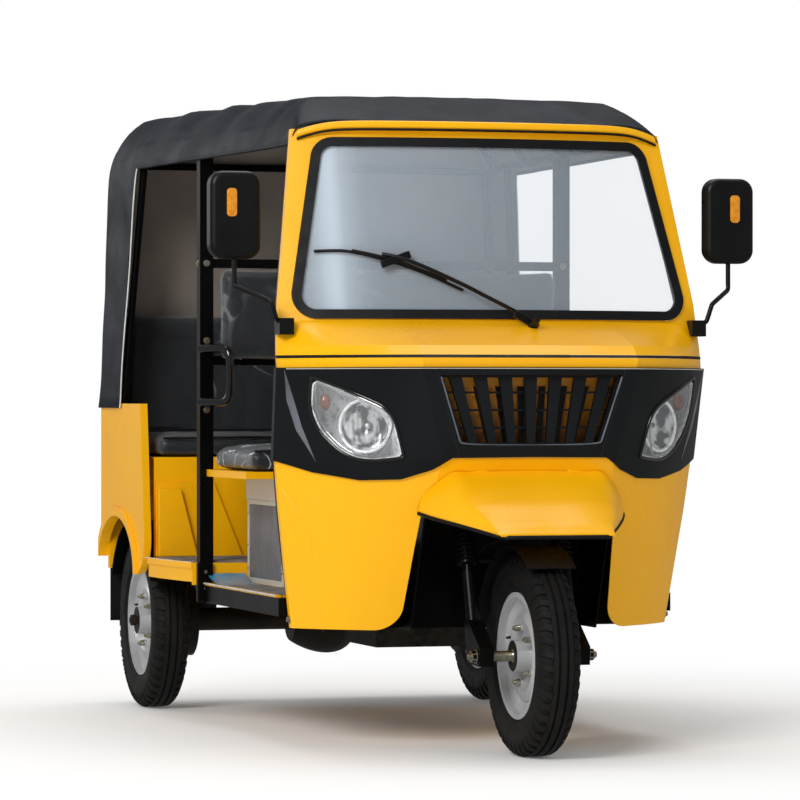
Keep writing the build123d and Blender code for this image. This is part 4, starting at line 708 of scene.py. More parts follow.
def canopyPoint(u, v):
    # u runs from hem to hem, v from the visor over the roof and down the back.
    side, share = (1 if u >= 0 else -1), abs(u)
    front, turn, wall = canopyForm["frontEdge"][0], canopyForm["shoulder"][0], canopyForm["wallShare"]
    y = between(front, turn, min(1, v / wall))
    x, z = canopySection(y, share, hemHeight(y))
    # The front edge follows the windscreen's curve
    y -= frontBow(x) * max(0, 1 - (y - front) / canopyForm["frontBlend"])
    z = softLower(z, roofProfile(x, y), canopyForm["rounding"])
    if v > wall:
        down = (v - wall) / (1 - wall)
        x = between(x, canopyRow(turn)[1] * share, down ** canopyForm["tuck"])
        z = between(z, canopyForm["lowHem"], down)
        y = between(turn, canopyForm["rear"], min(1, down / canopyForm["turnDown"]))
    else:
        sag = canopyForm["sag"] * bowTension(y) * max(0.0, 1 - max(0, share - canopyForm["eaveShare"]) * 2.6)
        x -= sag * (0.25 if share < 0.4 else 0.8) * (0.3 if share < canopyForm["roofShare"] else 1)
        z -= sag * (1.0 if share < 0.6 else 0.15) * limited((y - canopyForm["ridge"][0]) / 60)
    place = Vector((side * x, y, z))
    # Slow folds that run with the pull of the cloth
    depth = sum(deep * noise.noise(Vector(c / size + o for c, size, o in zip(place, sizes, origin)))
                for deep, sizes, origin in canopyForm["folds"])
    if y < canopyForm["ridge"][0]:
        depth *= canopyForm["frontFolds"]
    hollow, wide, deep = canopyForm["cornerHollow"]
    if share > 0.4:
        depth += (deep * math.exp(-((y - hollow) / wide) ** 2)
                  * math.sin(math.pi * min(1, (share - 0.4) / 0.6)) ** 0.5)
    inwards = Vector((side * (0.2 + 0.8 * min(1, share / 0.6)), 0.5 * (v > wall), 0.8 * (share < 0.5)))
    return place - inwards * abs(depth)


shape = grid(*canopyForm["mesh"], canopyPoint)
bmesh.ops.remove_doubles(shape, verts=shape.verts, dist=0.4 * mm)
# Round off the cloth where the roof turns down to the back and the sides turn into it
corner = [v for v in shape.verts if v.co.y > canopyForm["roundFrom"] * mm and not v.is_boundary]
for step in range(5):
    bmesh.ops.smooth_vert(shape, verts=corner, factor=0.5, use_axis_x=True, use_axis_y=True, use_axis_z=True)
clothArea = sum(face.calc_area() for face in shape.faces)
canopySheet = finished("canopySheet", facingUp(meshOf(shape, "canopySheet")), [canopyCloth, canopyLining])
wall = thickened(canopySheet, canopyForm["cloth"])
wall.material_offset = 1
wall.material_offset_rim = 0
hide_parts("canopy")

# Rolled hem along the eaves and white piping down the drop's front edge
hemForm = {"radius": 5.5, "from": -545, "to": 944, "steps": 40, "piping": 2.2,
           "pipingAt": (935, 950, 958, 966, 975, 985, 995, 1001, 1004)}  # y


def hemPoint(side, y, offset):
    front, turn = canopyForm["frontEdge"][0], canopyForm["shoulder"][0]
    return canopyPoint(side, canopyForm["wallShare"] * (y - front) / (turn - front)) + Vector(offset)


for side, word in sides:
    points = [hemPoint(side, between(hemForm["from"], hemForm["to"], i / hemForm["steps"]), (-side * 1.5, 0, 1))
              for i in range(hemForm["steps"] + 1)]
    tube(f"eaveHem{word}", points, hemForm["radius"], canopyCloth, "canopy_cloth")
    points = [hemPoint(side, y, (side, -3, 0)) for y in hemForm["pipingAt"]]
    tube(f"dropPiping{word}", points, hemForm["piping"], whitePiping)
print("canopy made, cloth area", round(clothArea, 3))


# Headlamps
lampForm = {
    # x and z round the lens on the vehicle's left; the corners numbered in pointed stay sharp
    "outline": [(536, 996), (435, 945), (383, 918), (358, 888), (330, 787), (392, 779), (432, 783), (470, 806),
                (512, 856), (534, 914)],
    "pointed": (0, 4),
    "rim": (4.0, 1.0, 4.6),  # how far outside the outline, lift and radius
    "edge": (-5.0, -5.0, 3.0),
    "lensFaces": (0.732, -0.681, 0),
    "aim": 32.0,  # degrees outwards
    "bowl": (431, 868),  # x and z of the reflector bowl's middle
    "bowlRadius": 66.0,
    "bowlDepth": 46.0,
    "bowlHole": 9.0,
    "bowlSet": 28.0,  # behind the lens
    "bowlWall": 1.2,
    "bulb": (1, 22, 9, 7),  # from and to above the bowl's bottom, and the radii there
    "bulbTip": (24, 8),  # middle and radius
    "ringWidth": 4.5,
    "amber": (521, 930),
    "amberRadius": 15.0,
    "amberStretch": (1, 0.8, 1.5, 1),
    "amberSet": 34.0,
}


def lampLoop(side, out, lift, radius):
    # A line round the lens: two points for each corner keep a smooth run near the outline.
    outline = [Vector(p) for p in lampForm["outline"]]
    middle = sum(outline, Vector((0, 0))) / len(outline)
    outline = [p + (p - middle).normalized() * out for p in outline]
    points = []
    for i, here in enumerate(outline):
        pull = 0.05 if i in lampForm["pointed"] else 0.22
        points += [here + (near - here) * pull for near in (outline[i - 1], outline[(i + 1) % len(outline)])]
    return [noseSurface.front(side * p.x, p.y, lift) for p in points], radius


lensSurface = Surface("headlamp_lenses")
noseSurface = Surface("front_mask", "nose_panel", "headlamp_lenses")
for side, word in sides:
    tube(f"lampRim{word}", *lampLoop(side, *lampForm["rim"]), glossBlack, "trim_black", closed=True)
    tube(f"lampEdge{word}", *lampLoop(side, *lampForm["edge"]), chromePlate, "reflector", closed=True)
    # Reflector bowl, spun round its axis, with its bulb
    x, z = lampForm["bowl"]
    out = Vector(lampForm["lensFaces"])
    out.x *= side
    angle = math.radians(lampForm["aim"])
    aim, up = Vector((side * math.sin(angle), -math.cos(angle), 0)), Vector((0, 0, 1))
    rimMiddle = lensSurface.front(side * x, z) - out * lampForm["bowlSet"]
    radius, depth, hole = lampForm["bowlRadius"], lampForm["bowlDepth"], lampForm["bowlHole"]
    profile = [(r, depth * (r / radius) ** 2 - depth) for r in (between(hole, radius, i / 14) for i in range(15))]
    shape = bmesh.new()
    run = [shape.verts.new(Vector((r, 0, h)) * mm) for r, h in profile + [(radius + 4, 1.5), (radius + 5, -4)]]
    joined = [shape.edges.new(pair) for pair in zip(run, run[1:])]
    bmesh.ops.spin(shape, geom=run + joined, cent=(0, 0, 0), axis=(0, 0, 1), angle=math.tau, steps=56,
                   use_merge=True)
    bmesh.ops.remove_doubles(shape, verts=shape.verts, dist=0.01 * mm)
    bmesh.ops.transform(shape, verts=shape.verts, matrix=Matrix.Translation(rimMiddle * mm) @ facing(aim))
    thickened(finished(f"lampBowl{word}", shape, aluminised), lampForm["bowlWall"])
    across = aim.cross(up).normalized()
    ring = [rimMiddle + (across * math.cos(a) + up * math.sin(a)) * (radius + 3) + aim * 2
            for a in (math.tau * i / 40 for i in range(40))]
    tube(f"lampRing{word}", ring, lampForm["ringWidth"], reflectionPaintedSurround, "reflector", closed=True)
    shape = bmesh.new()
    bottom, (low, high, *radii), (tip, radius) = rimMiddle - aim * depth, lampForm["bulb"], lampForm["bulbTip"]
    addRod(shape, bottom + aim * low, bottom + aim * high, *radii)
    bmesh.ops.create_uvsphere(shape, u_segments=20, v_segments=12, radius=radius * mm,
                              matrix=Matrix.Translation((bottom + aim * tip) * mm))
    finished(f"lampBulb{word}", shape, aluminised)
    x, z = lampForm["amber"]
    spot = lensSurface.front(side * x, z) - out * lampForm["amberSet"]
    shape = bmesh.new()
    bmesh.ops.create_uvsphere(shape, u_segments=24, v_segments=14, radius=lampForm["amberRadius"] * mm,
                              matrix=Matrix.Translation(spot * mm) @ Matrix.Diagonal(lampForm["amberStretch"]))
    finished(f"turnBulb{word}", shape, dippedBulb)
print("headlamps made")


# Mask and nose trim, x and z on the vehicle's left
frontForm = {
    "gapLine": [(262, 1021), (196, 787)],
    "gapWidth": 1.5,
    "grilleEdgeHighlight": [(-249.964, 997), (-192.28, 817), (192.28, 817), (249.964, 997)],
    "highlightWidth": 2.4,
    "swooshOuter": [(592, 1018), (583, 935), (560, 856), (515, 772)],
    "swooshInner": [(592, 1018), (570, 940), (549, 865), (515, 772)],
    "swooshRise": (0.25, 1.4),
    "crease": [(589, 740), (576, 700), (556, 660), (532, 632), (517, 600), (508, 560), (504, 520)],
    "creaseWidth": 2.6,
    "topEdge": (588, 1018.8),
}
maskSurface = Surface("front_mask")
panelSurface = Surface("nose_panel", "front_mask")


def runAlong(points, count):
    # Points spread evenly between the given ones.
    spread = [[between(p, q, i / count) for p, q in zip(a, b)] for a, b in zip(points, points[1:])
              for i in range(count)]
    return spread + [list(points[-1])]


for number, side in enumerate((1, -1)):
    path = [maskSurface.front(side * x, z, -0.9) for x, z in runAlong(frontForm["gapLine"], 12)]
    tube(f"maskGap{number}", path, frontForm["gapWidth"], glossBlack)
# A grey tube round the grille opening: painted highlight along the recess's edges
path = [maskSurface.front(x, z, 0.2) for x, z in runAlong(frontForm["grilleEdgeHighlight"], 10)]
tube("grilleEdgeHighlight", path, frontForm["highlightWidth"], greyAbs)

outer, inner = (runAlong(frontForm[name], 12) for name in ("swooshOuter", "swooshInner"))


def swooshPoint(u, v):
    index = round((u + 1) / 2 * (len(outer) - 1))
    x, z = (between(a, b, v) for a, b in zip(inner[index], outer[index]))
    base, rise = frontForm["swooshRise"]
    return maskSurface.front(side * x, z, base + rise * math.sin(math.pi * v)) or Vector((side * x, -700, z))


for side, word in sides:
    shape = grid(len(outer) - 1, 4, swooshPoint)
    bmesh.ops.remove_doubles(shape, verts=shape.verts, dist=0.2 * mm)
    finished(f"maskSwoosh{word}", shape, greyAbs)
    path = [panelSurface.front(side * x, z, -frontForm["creaseWidth"] * 0.55) for x, z in frontForm["crease"]]
    tube(f"panelCrease{word}", path, frontForm["creaseWidth"], yellowEnamel, "body_yellow")
# Pale line along the mask's top edge, where it meets the panel above
half, z = frontForm["topEdge"]
tube("maskTopEdge", [maskSurface.front(x, z, 1.0) for x in range(-half, half + 1, 14)], 1.0, creamEnamel)


def smoothed(rows, place):
    # The row at place, by a smooth curve through all rows, whose first value is the place.
    places = [row[0] for row in rows]
    k = max(0, min(len(rows) - 2, sum(place < p for p in places) - 1))
    t = (place - places[k]) / (places[k + 1] - places[k])
    a, b, c, d = (rows[max(0, min(len(rows) - 1, i))] for i in (k - 1, k, k + 1, k + 2))
    return [((2 * q) + (r - p) * t + (2 * p - 5 * q + 4 * r - o) * t * t + (3 * q - p - 3 * r + o) * t ** 3) / 2
            for p, q, r, o in zip(a, b, c, d)]


# Hood over the front wheel: one smooth pressing whose rear edge lies on the nose
hoodForm = {
    # y, half width and height of the lower edge, half width and height of the shoulder, crown
    "rows": [(-935, 285, 640, 216, 742, 757), (-1010, 262, 627, 206, 735, 748), (-1130, 206, 606, 176, 668, 676),
             (-1243, 147, 584, 140, 598, 602)],
    "ear": (205.0, 30.0, -1005.0, 50.0, 12.0),  # x and y with their half widths, and height of the raised corners
    "turn": (0.88, 586.0, 7.0),  # where the tip turns down, to which height and how far forwards
    "sheet": 2.0,
    "lip": 5.5,
    "lipTip": [(-136, -1248, 582), (-118, -1252, 582), (-90, -1253, 582)],
}
shape = bmesh.new()
bmesh.ops.create_grid(shape, x_segments=64, y_segments=40, size=1)
for vert in shape.verts:
    side, t, v = (1 if vert.co.x >= 0 else -1), abs(vert.co.x), (vert.co.y + 1) / 2
    y = between(hoodForm["rows"][0][0], hoodForm["rows"][-1][0], v)
    lowX, lowZ, topX, topZ, crown = smoothed(hoodForm["rows"], y)[1:]
    knots = ((0, crown), (topX * 0.92, crown + 3), (topX * 1.26, topZ + 6), (lowX, lowZ))
    weights = ((1 - t) ** 3, 3 * t * (1 - t) ** 2, 3 * t * t * (1 - t), t ** 3)
    x, z = (sum(w * k[i] for w, k in zip(weights, knots)) for i in (0, 1))
    earX, wide, earY, long, high = hoodForm["ear"]
    z += high * math.exp(-((x - earX) / wide) ** 2) * math.exp(-((y - earY) / long) ** 2)
    start, foot, forwards = hoodForm["turn"]
    turn = max(0, (v - start) / (1 - start))
    z = between(z, foot, turn ** 2)
    y -= forwards * turn
    nose = panelSurface.front(side * x, z, 1.0)
    vert.tag = bool(nose and y > nose.y)
    vert.co = Vector((side * x, nose.y if vert.tag else y, z)) * mm
bmesh.ops.delete(shape, geom=[f for f in shape.faces if all(v.tag for v in f.verts)], context="FACES")
bmesh.ops.remove_doubles(shape, verts=shape.verts, dist=0.05 * mm)
hood = finished("hood", facingUp(meshOf(shape, "hood")), yellowEnamel)
thickened(hood, hoodForm["sheet"])
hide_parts("front_hood")
lipPath = [(-row[1] + 2, y, row[2] - 2) for y in range(-940, -1241, -20) for row in [smoothed(hoodForm["rows"], y)]]
lipPath += hoodForm["lipTip"]
lipPath += [(-x, y, z) for x, y, z in reversed(lipPath)]
tube("hoodLip", lipPath, hoodForm["lip"], epdmRubber, "rubber")

# Visor above the screen: a folded strip whose ends drop under the canopy's corners
visorForm = {
    "path": [(0, -656), (110, -653), (220, -644), (300, -631), (370, -613), (440, -592), (500, -573), (514, -568)],
    "section": [(-30, 9), (-6, 11), (0, 8), (2, 0), (0, -7), (-5, -10), (-30, -10)],  # outwards and up
    "middle": 1679.0,
    "endDrop": 26.0,
    "sheet": 1.6,
    "seal": (2.0, 13.0, 3.2),  # forwards, down and radius
}
run = [(-x, y) for x, y in reversed(visorForm["path"])] + visorForm["path"][1:]


def visorPoint(u, v):
    index = round((u + 1) / 2 * (len(run) - 1))
    out, up = visorForm["section"][round(v * (len(visorForm["section"]) - 1))]
    (x, y), before, after = run[index], run[max(0, index - 1)], run[min(len(run) - 1, index + 1)]
    normal = Vector((after[1] - before[1], before[0] - after[0])).normalized()
    return Vector((x + normal.x * out, y + normal.y * out,
                   visorForm["middle"] + up - visorForm["endDrop"] * cornerDrop(x)))


visor = finished("visorStrip", grid(len(run) - 1, len(visorForm["section"]) - 1, visorPoint), yellowEnamel)
thickened(visor, visorForm["sheet"])
subdivided(visor, 2)
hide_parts("roof_visor")
# A black rubber tube under the visor's lip: painted shadow that stands in for the shade beneath the lip
forwards, down, radius = visorForm["seal"]
shadowLinePath = [(x, y - forwards, visorForm["middle"] - down - visorForm["endDrop"] * cornerDrop(x)) for x, y in run]
tube("visorShadowLine", shadowLinePath, radius, epdmRubber, "rubber")

# Black plates behind the grille slats, in each gap's outer half: painted shadow that stands in for the shade inside
# the gaps
shadowPlateForm = {"gaps": 8, "half": 243.0, "from": 1.0, "to": 18.0, "z": (820.0, 972.0), "y": (-1000.0, -997.0),
              "narrowing": 0.764}  # of the grille, from its top to its foot
shape = bmesh.new()
pitch = 2 * shadowPlateForm["half"] / shadowPlateForm["gaps"]
low, high = shadowPlateForm["z"]
for gap in range(shadowPlateForm["gaps"]):
    x = (gap - 3.5) * pitch
    for vert in addBlock(shape, (x + shadowPlateForm["from"], shadowPlateForm["y"][0], low),
                         (x + shadowPlateForm["to"], shadowPlateForm["y"][1], high)):
        if vert.co.z < (low + high) / 2 * mm:
            vert.co.x *= shadowPlateForm["narrowing"]
finished("grilleShadowPlates", shape, blackAbs, smooth=False)

# D shaped handles on the middle posts, leaning into the doorways
handleForm = {
    "radius": 12.5,
    "path": [(563, 312, 1085), (535, 268, 1086), (512, 234, 1085), (503, 219, 1076), (500, 214, 1050),
             (499, 212, 1008), (500, 214, 965), (503, 219, 940), (512, 234, 931), (535, 268, 930), (563, 312, 930)],
}
for side, word in sides:
    handle = tube(f"doorHandle{word}", [(side * x, y, z) for x, y, z in handleForm["path"]], handleForm["radius"],
                  glossBlack, "trim_black", resolution=8)
    if word == "Right":
        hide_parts("grab_handles")

# Wiper: its arm swings from the pivot under the screen, with a long bowed blade
wiperForm = {
    # radius, then x, z and distance in front of the screen
    "Blade": (4.2, [(-492, 1334, 9), (-440, 1337, 10), (-396, 1334, 12), (-325, 1316, 14), (-230, 1286, 14),
                    (-149, 1251, 12), (-104, 1230, 9)]),
    "Holder": (3.6, [(-396, 1337, 17), (-340, 1326, 23), (-240, 1296, 25), (-149, 1257, 17)]),
    "Arm": (5.6, [(66, 1150, 42), (20, 1176, 40), (-60, 1218, 38), (-104, 1242, 37), (-228, 1300, 35),
                  (-290, 1322, 30), (-318, 1326, 20)]),
}
clipForm = {
    # place like the points above, tilt in degrees and size
    "blocks": [((-285, 1312, 24), -20, (0.085, 0.016, 0.020)), ((55, 1150, 40), 29, (0.075, 0.014, 0.019))],
    "pivot": (70, 1132, 0),
    # offsets from the pivot of both ends of a rod, and its radii
    "rods": [((0, 3, 0), (0, -14, 6), 14, 12), ((0, -10, 4), (0, -40, 20), 9, 8.5)],
}
glassSurface = Surface("windscreen_glass", "windscreen_gasket", "cowl_panel", "cowl_seal")


def onGlass(x, z, lift):
    place = glassSurface.front(x, z)
    return Vector((x, place.y - lift, z)) if place else Vector((x, -760, z))


for part, (radius, points) in wiperForm.items():
    tube(f"wiper{part}", [onGlass(*p) for p in points], radius, blackAbs, "trim_black", resolution=8)
shape = bmesh.new()
for place, tilt, size in clipForm["blocks"]:
    bmesh.ops.create_cube(shape, size=1, matrix=Matrix.Translation(onGlass(*place) * mm) @ turned("Y", tilt)
                          @ Matrix.Diagonal((*size, 1)))
pivot = onGlass(*clipForm["pivot"])
for start, end, radius, radiusEnd in clipForm["rods"]:
    addRod(shape, pivot + Vector(start), pivot + Vector(end), radius, radiusEnd)
clip = softened(finished("wiperClip", shape, blackAbs, smooth=False), 2.5, 3)
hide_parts("wiper")
print("front trim made")


# Wheels
tyreForm = {
    "radius": 265.0,
    # x from the middle and radius, from the bead up to the crown
    "profile": [(38, 160), (38.6, 168.6), (47, 174), (49, 179), (51.5, 180), (52.5, 190), (54.6, 207), (54.9, 220),
                (53.4, 224), (53.6, 229), (51, 240), (46.5, 248.5), (40, 253.6), (28, 256.2), (27, 262.8),
                (15, 264.6), (13.6, 257.4), (8.4, 257.8), (7.4, 264.9), (0, 265)],
    "treadFrom": 9,  # number of the profile's point where the tread starts
    "steps": 120,
    "lugs": 46,
    "lugLength": 21.0,
    "lugFrom": 29.5,
    "lugTo": 53.0,
    "lugHeight": (8.2, 3.7),  # at its inner and its outer end
    "lugRoot": 6.0,
    "lugTaper": 0.86,
    "widest": 55.0,
    "sharp": 40.0,  # degrees
}


def tyreCrown(x):
    # The carcass radius at x from the middle.
    points = tyreForm["profile"][tyreForm["treadFrom"]:]
    (x0, r0), (x1, r1) = next(pair for pair in zip(points, points[1:]) if pair[1][0] <= x <= pair[0][0])
    return between(r1, r0, (x - x1) / (x0 - x1))


def addLugs(shape, hand):
    # Shoulder lugs of one side: one bevelled block, then copied round.
    count, full, axis = tyreForm["lugs"], tyreForm["radius"], {"cent": (0, 0, 0)}
    lug = bmesh.new()
    bmesh.ops.create_cube(lug, size=1)
    long = [e for e in lug.edges if abs(e.verts[0].co.x - e.verts[1].co.x) > 0.5]
    bmesh.ops.subdivide_edges(lug, edges=long, cuts=3)
    for vert in lug.verts:
        t, top = vert.co.x + 0.5, vert.co.z > 0
        x = between(tyreForm["lugFrom"], tyreForm["lugTo"], t)
        rise = between(*tyreForm["lugHeight"], t) if top else -tyreForm["lugRoot"]
        radius = min(tyreCrown(x) + rise, full - 0.6)
        length = tyreForm["lugLength"] * (tyreForm["lugTaper"] if top else 1)
        along = vert.co.y * length + hand * 5 * (0.5 - t) + 3 * t
        angle = along / full
        x = min(x + (1.4 * t if top else 0), tyreForm["widest"])
        vert.co = Vector((hand * x, radius * math.sin(angle), radius * math.cos(angle))) * mm
    roundEdges(lug, [e for e in lug.edges if e.calc_face_angle(0) > 0.6], 1.3, 1)
    bmesh.ops.recalc_face_normals(lug, faces=lug.faces)
    if hand > 0:
        bmesh.ops.rotate(lug, verts=lug.verts, matrix=Matrix.Rotation(math.pi / count, 3, "X"), **axis)
    bmesh.ops.spin(lug, geom=lug.verts[:] + lug.edges[:] + lug.faces[:], axis=(1, 0, 0),
                   angle=math.tau * (count - 1) / count, steps=count - 1, use_duplicate=True, **axis)
    mesh = meshOf(lug, "lugs", outwards=False)
    shape.from_mesh(mesh)
    bpy.data.meshes.remove(mesh)


wheelPlaces = {
    # body, CAD tyre, middle, which way the disc faces along X
    "front": ("front_wheel", "front_tyre", (0, -1035, 265), -1),
    "rearRight": ("rear_wheel_right", "rear_right_tyre", (-539, 1000, 265), -1),
    "rearLeft": ("rear_wheel_left", "rear_left_tyre", (539, 1000, 265), 1),
}
wheelTrim = {
    "nuts": 5,
    "boltCircle": 75.0,
    "nutRadius": 9.5,
    "nutHeight": 9.0,
    "discFace": 31.0,
    # offsets from the middle of both ends of the valve, and its radii; x towards the disc's side
    "valve": ((20, 118, 42), (34, 114, 41), 3.8, 3.0),
    # dark greasy ring on the hub's face, clear of the axle: x and radius
    "hubFace": [(54.1, 17), (54.1, 41), (54.9, 40), (54.9, 18)],
}
for name, (body, node, centre, way) in wheelPlaces.items():
    shape = bmesh.new()
    half = tyreForm["profile"]
    addRing(shape, half + [(-x, r) for x, r in reversed(half[:-1])], tyreForm["steps"])
    for hand in (-1, 1):
        addLugs(shape, hand)
    shift(shape, centre)
    tyre = finished(f"{name}Tyre", shape, tyreRubber, body)
    tyre.data.set_sharp_from_angle(angle=math.radians(tyreForm["sharp"]))
    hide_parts(node)
    # Wheel nuts and a valve on the disc
    face, radius, height = way * wheelTrim["discFace"], wheelTrim["nutRadius"], way * wheelTrim["nutHeight"]
    shape = bmesh.new()
    for turn in range(wheelTrim["nuts"]):
        angle = math.tau * turn / wheelTrim["nuts"]
        y, z = wheelTrim["boltCircle"] * math.cos(angle), wheelTrim["boltCircle"] * math.sin(angle)
        addRod(shape, (face - way * 8, y, z), (face + height, y, z), radius, radius * 0.92, 6)
        addRod(shape, (face, y, z), (face + height + way * 6, y, z), 5, corners=12)
    shift(shape, centre)
    softened(finished(f"{name}Nuts", shape, zincSteel, body, smooth=False), 1.2, 1)
    shape = bmesh.new()
    start, end, *radii = wheelTrim["valve"]
    addRod(shape, (way * start[0], *start[1:]), (way * end[0], *end[1:]), *radii, 12)
    shift(shape, centre)
    finished(f"{name}Valve", shape, epdmRubber, body=body)
    shape = bmesh.new()
    addRing(shape, [(way * x, radius) for x, radius in wheelTrim["hubFace"]], 72)
    shift(shape, centre)
    finished(f"{name}HubFace", shape, chassisBlack, body=body, smooth=False)
print("wheels made")


# Cushions
stuffing = {
    "voxel": 11.0,
    "rounding": 16.0,
    "frames": 20,
    "pressure": 4.0,
    "tension": 12.0,
    "mass": 0.4,
    "puckers": (2.2, 0.7),  # broad and small
    "seamDepth": 3.5,
    "seamWidth": 5.0,
}
cushionForm = {
    # CAD node, low corner, high corner, swell cap, crown, fill, seams (axis, place)
    "rearCushion": ("rear_cushion", (-594, 720, 765.6), (594, 1177.6, 829), 9, 6, 0.7, [(0, -200), (0, 200)]),
    "rearBackrest": ("rear_backrest", (-594, 1178.4, 765.6), (594, 1257, 1209), 9, 0, 0.7,
                     [(0, -200), (0, 200), (2, 1120)]),
    "driverCushion": ("driver_cushion", (-537, -150, 735.6), (537, 303, 799), 9, 8, 0.65, [(0, -536), (0, 536)]),
    "driverBackrest": ("driver_backrest", (-517, 257, 1045.5), (517, 316.4, 1321.5), 8, 0, 0.6, [(2, 1300)]),
}


def evaluated(piece):
    return bpy.data.meshes.new_from_object(piece.evaluated_get(bpy.context.evaluated_depsgraph_get()))


def swollen(name, low, high, cap, crown):
    # A stuffed block between two corners: cloth blown up from inside, held flat where it rests.
    low, high = Vector(low), Vector(high)
    shape = bmesh.new()
    inset = Vector((cap * 0.7,) * 3)
    addBlock(shape, low + inset, high - inset)
    roundEdges(shape, shape.edges[:], stuffing["rounding"], 3)
    piece = linked(name, meshOf(shape, name))
    remesh = piece.modifiers.new("cells", "REMESH")
    remesh.mode = "VOXEL"
    remesh.voxel_size = stuffing["voxel"] * mm
    mesh = evaluated(piece)
    piece.modifiers.clear()
    piece.data = mesh
    start = [v.co.copy() for v in mesh.vertices]
    cloth = piece.modifiers.new("stuffing", "CLOTH")
    cloth.settings.use_pressure = True
    cloth.settings.uniform_pressure_force = stuffing["pressure"]
    cloth.settings.effector_weights.gravity = 0
    cloth.settings.quality = 4
    cloth.settings.tension_stiffness = stuffing["tension"]
    cloth.settings.mass = stuffing["mass"]
    cloth.point_cache.frame_start, cloth.point_cache.frame_end = 1, stuffing["frames"]
    for number in range(1, stuffing["frames"] + 1):
        bpy.context.scene.frame_set(number)
    blown = evaluated(piece)
    piece.modifiers.clear()
    bpy.context.scene.frame_set(1)
    middle, half = (low + high) / 2 * mm, (high - low) / 2 * mm
    low, high = low * mm, (high + Vector((0, 0, crown))) * mm
    broad, small = stuffing["puckers"]
    for vert, first in zip(blown.vertices, start):
        moved = vert.co - first
        if moved.length > cap * mm:
            moved *= cap * mm / moved.length
        place = first + moved
        # More crown in the middle than at the edges, and small puckers
        u, w = (place.x - middle.x) / half.x, (place.y - middle.y) / half.y
        if place.z > middle.z:
            place.z += crown * mm * (1 - u ** 4) * (1 - w * w)
        pucker = noise.noise(place * 11) * broad + noise.noise(place * 34) * small
        place += (place - middle).normalized() * pucker * mm
        vert.co = [limited(c, least, most) for c, least, most in zip(place, low, high)]
    piece.data = blown
    return piece


cushions = {}
for name, (node, low, high, cap, crown, fill, seams) in cushionForm.items():
    pad = swollen(name, low, high, cap, crown)
    # Sewn channels push the cover in
    pad.data.update()
    for vert in pad.data.vertices:
        push = max(math.exp(-((vert.co[axis] / mm - place) / stuffing["seamWidth"]) ** 2) for axis, place in seams)
        vert.co -= vert.normal * stuffing["seamDepth"] * push * mm
    pad.data.update()
    subdivided(pad, 1)
    for face in pad.data.polygons:
        face.use_smooth = True
    pad.data.materials.clear()
    pad.data.materials.append(seatVinyl)
    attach(pad, "body")
    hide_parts(node)
    cushions[name] = pad
# Welts along the front edges, slightly wavy
weltForm = {
    "radius": 3.6,
    "waves": (1.5, 90, 1.2, 70),  # depth and length, forwards and upwards
    "places": {"rearWelt": (727, 823, 575), "driverWelt": (-143, 793, 520)},  # y, z and half length
}
out, long, up, high = weltForm["waves"]
for name, (y, z, half) in weltForm["places"].items():
    points = [(x, y - out * math.cos(x / long), z + up * math.sin(x / high)) for x in range(-half, half + 1, 40)]
    tube(name, points, weltForm["radius"], seatVinyl, "seat_cover")
print("cushions stuffed")


# Clear wrapping on the cushions
wrapForm = {
    "lift": 3.2,
    "fold": 3.0,
    "roll": 1.35,  # metres
    "used": 0.95,
    # height of the lower edge
    "above": {"rearCushion": 775, "driverCushion": 744, "driverBackrest": 1050, "rearBackrest": 850},
}
for name, above in wrapForm["above"].items():
    shape = bmesh.new()
    shape.from_mesh(cushions[name].data)
    shape.normal_update()
    for vert in shape.verts:
        fold = noise.noise(vert.co * 24 + Vector((5, 1, 9))) + 0.5 * noise.noise(vert.co * 60)
        vert.co += vert.normal * (wrapForm["lift"] + wrapForm["fold"] * fold) * mm
    under = [f for f in shape.faces if f.calc_center_median().z < above * mm]
    bmesh.ops.delete(shape, geom=under, context="FACES")
    if name.endswith("Backrest"):
        bmesh.ops.delete(shape, geom=[f for f in shape.faces if f.normal.y > 0.2], context="FACES")
    area = sum(f.calc_area() for f in shape.faces)
    wrap = finished(f"{name}Wrap", meshOf(shape, "wrap", outwards=False),
                    looseFilm if name == "driverCushion" else tightFilm)
    wide = wrapForm["roll"]
print("wrapping made")


# Floors
matForm = {
    "pitch": 15.0,
    "ribHeight": 1.8,
    "ribTop": 5.0,
    "base": 1.4,
    "margin": 4.0,
    # x and y from and to, height of the floor
    "places": {
        "driverMat": ((-474, 474), (-640, -128), 408.4),
        "sideMatRight": ((-548, -441), (-126, 60), 408.4),
        "sideMatLeft": ((441, 548), (-126, 276), 408.4),
        "footMatRight": ((-548, -476), (-522, -128), 408.4),
        "footMatLeft": ((476, 548), (-522, -128), 408.4),
        "passengerMat": ((-560, 560), (352, 738), 465.4),
        "passengerMatFront": ((-518, 518), (292, 350), 465.4),
    },
}
stepForm = {"y": (291, 742), "x": (564, 600), "bulge": 9.0}  # the passengers' mat ends in a bow at both sides


def stepEdge(y):
    start, end = stepForm["y"]
    share = (y - start) / (end - start)
    return between(*stepForm["x"], share) + stepForm["bulge"] * 4 * share * (1 - share)


for name, ((x0, x1), (y0, y1), z) in matForm["places"].items():
    bowed = name == "passengerMat"
    shape = bmesh.new()
    addBlock(shape, (x0, y0, z), (x1, y1, z + matForm["base"]))
    for vert in shape.verts if bowed else ():
        vert.co.x = math.copysign(stepEdge(vert.co.y / mm), vert.co.x) * mm
    for row in range(int((y1 - y0) / matForm["pitch"])):
        y = y0 + (row + 0.5) * matForm["pitch"]
        if bowed:
            x0, x1 = -stepEdge(y), stepEdge(y)
        addBlock(shape, (x0 + matForm["margin"], y - matForm["ribTop"] / 2, z + 1),
                 (x1 - matForm["margin"], y + matForm["ribTop"] / 2, z + matForm["base"] + matForm["ribHeight"]))
    finished(name, shape, matPvc, smooth=False)

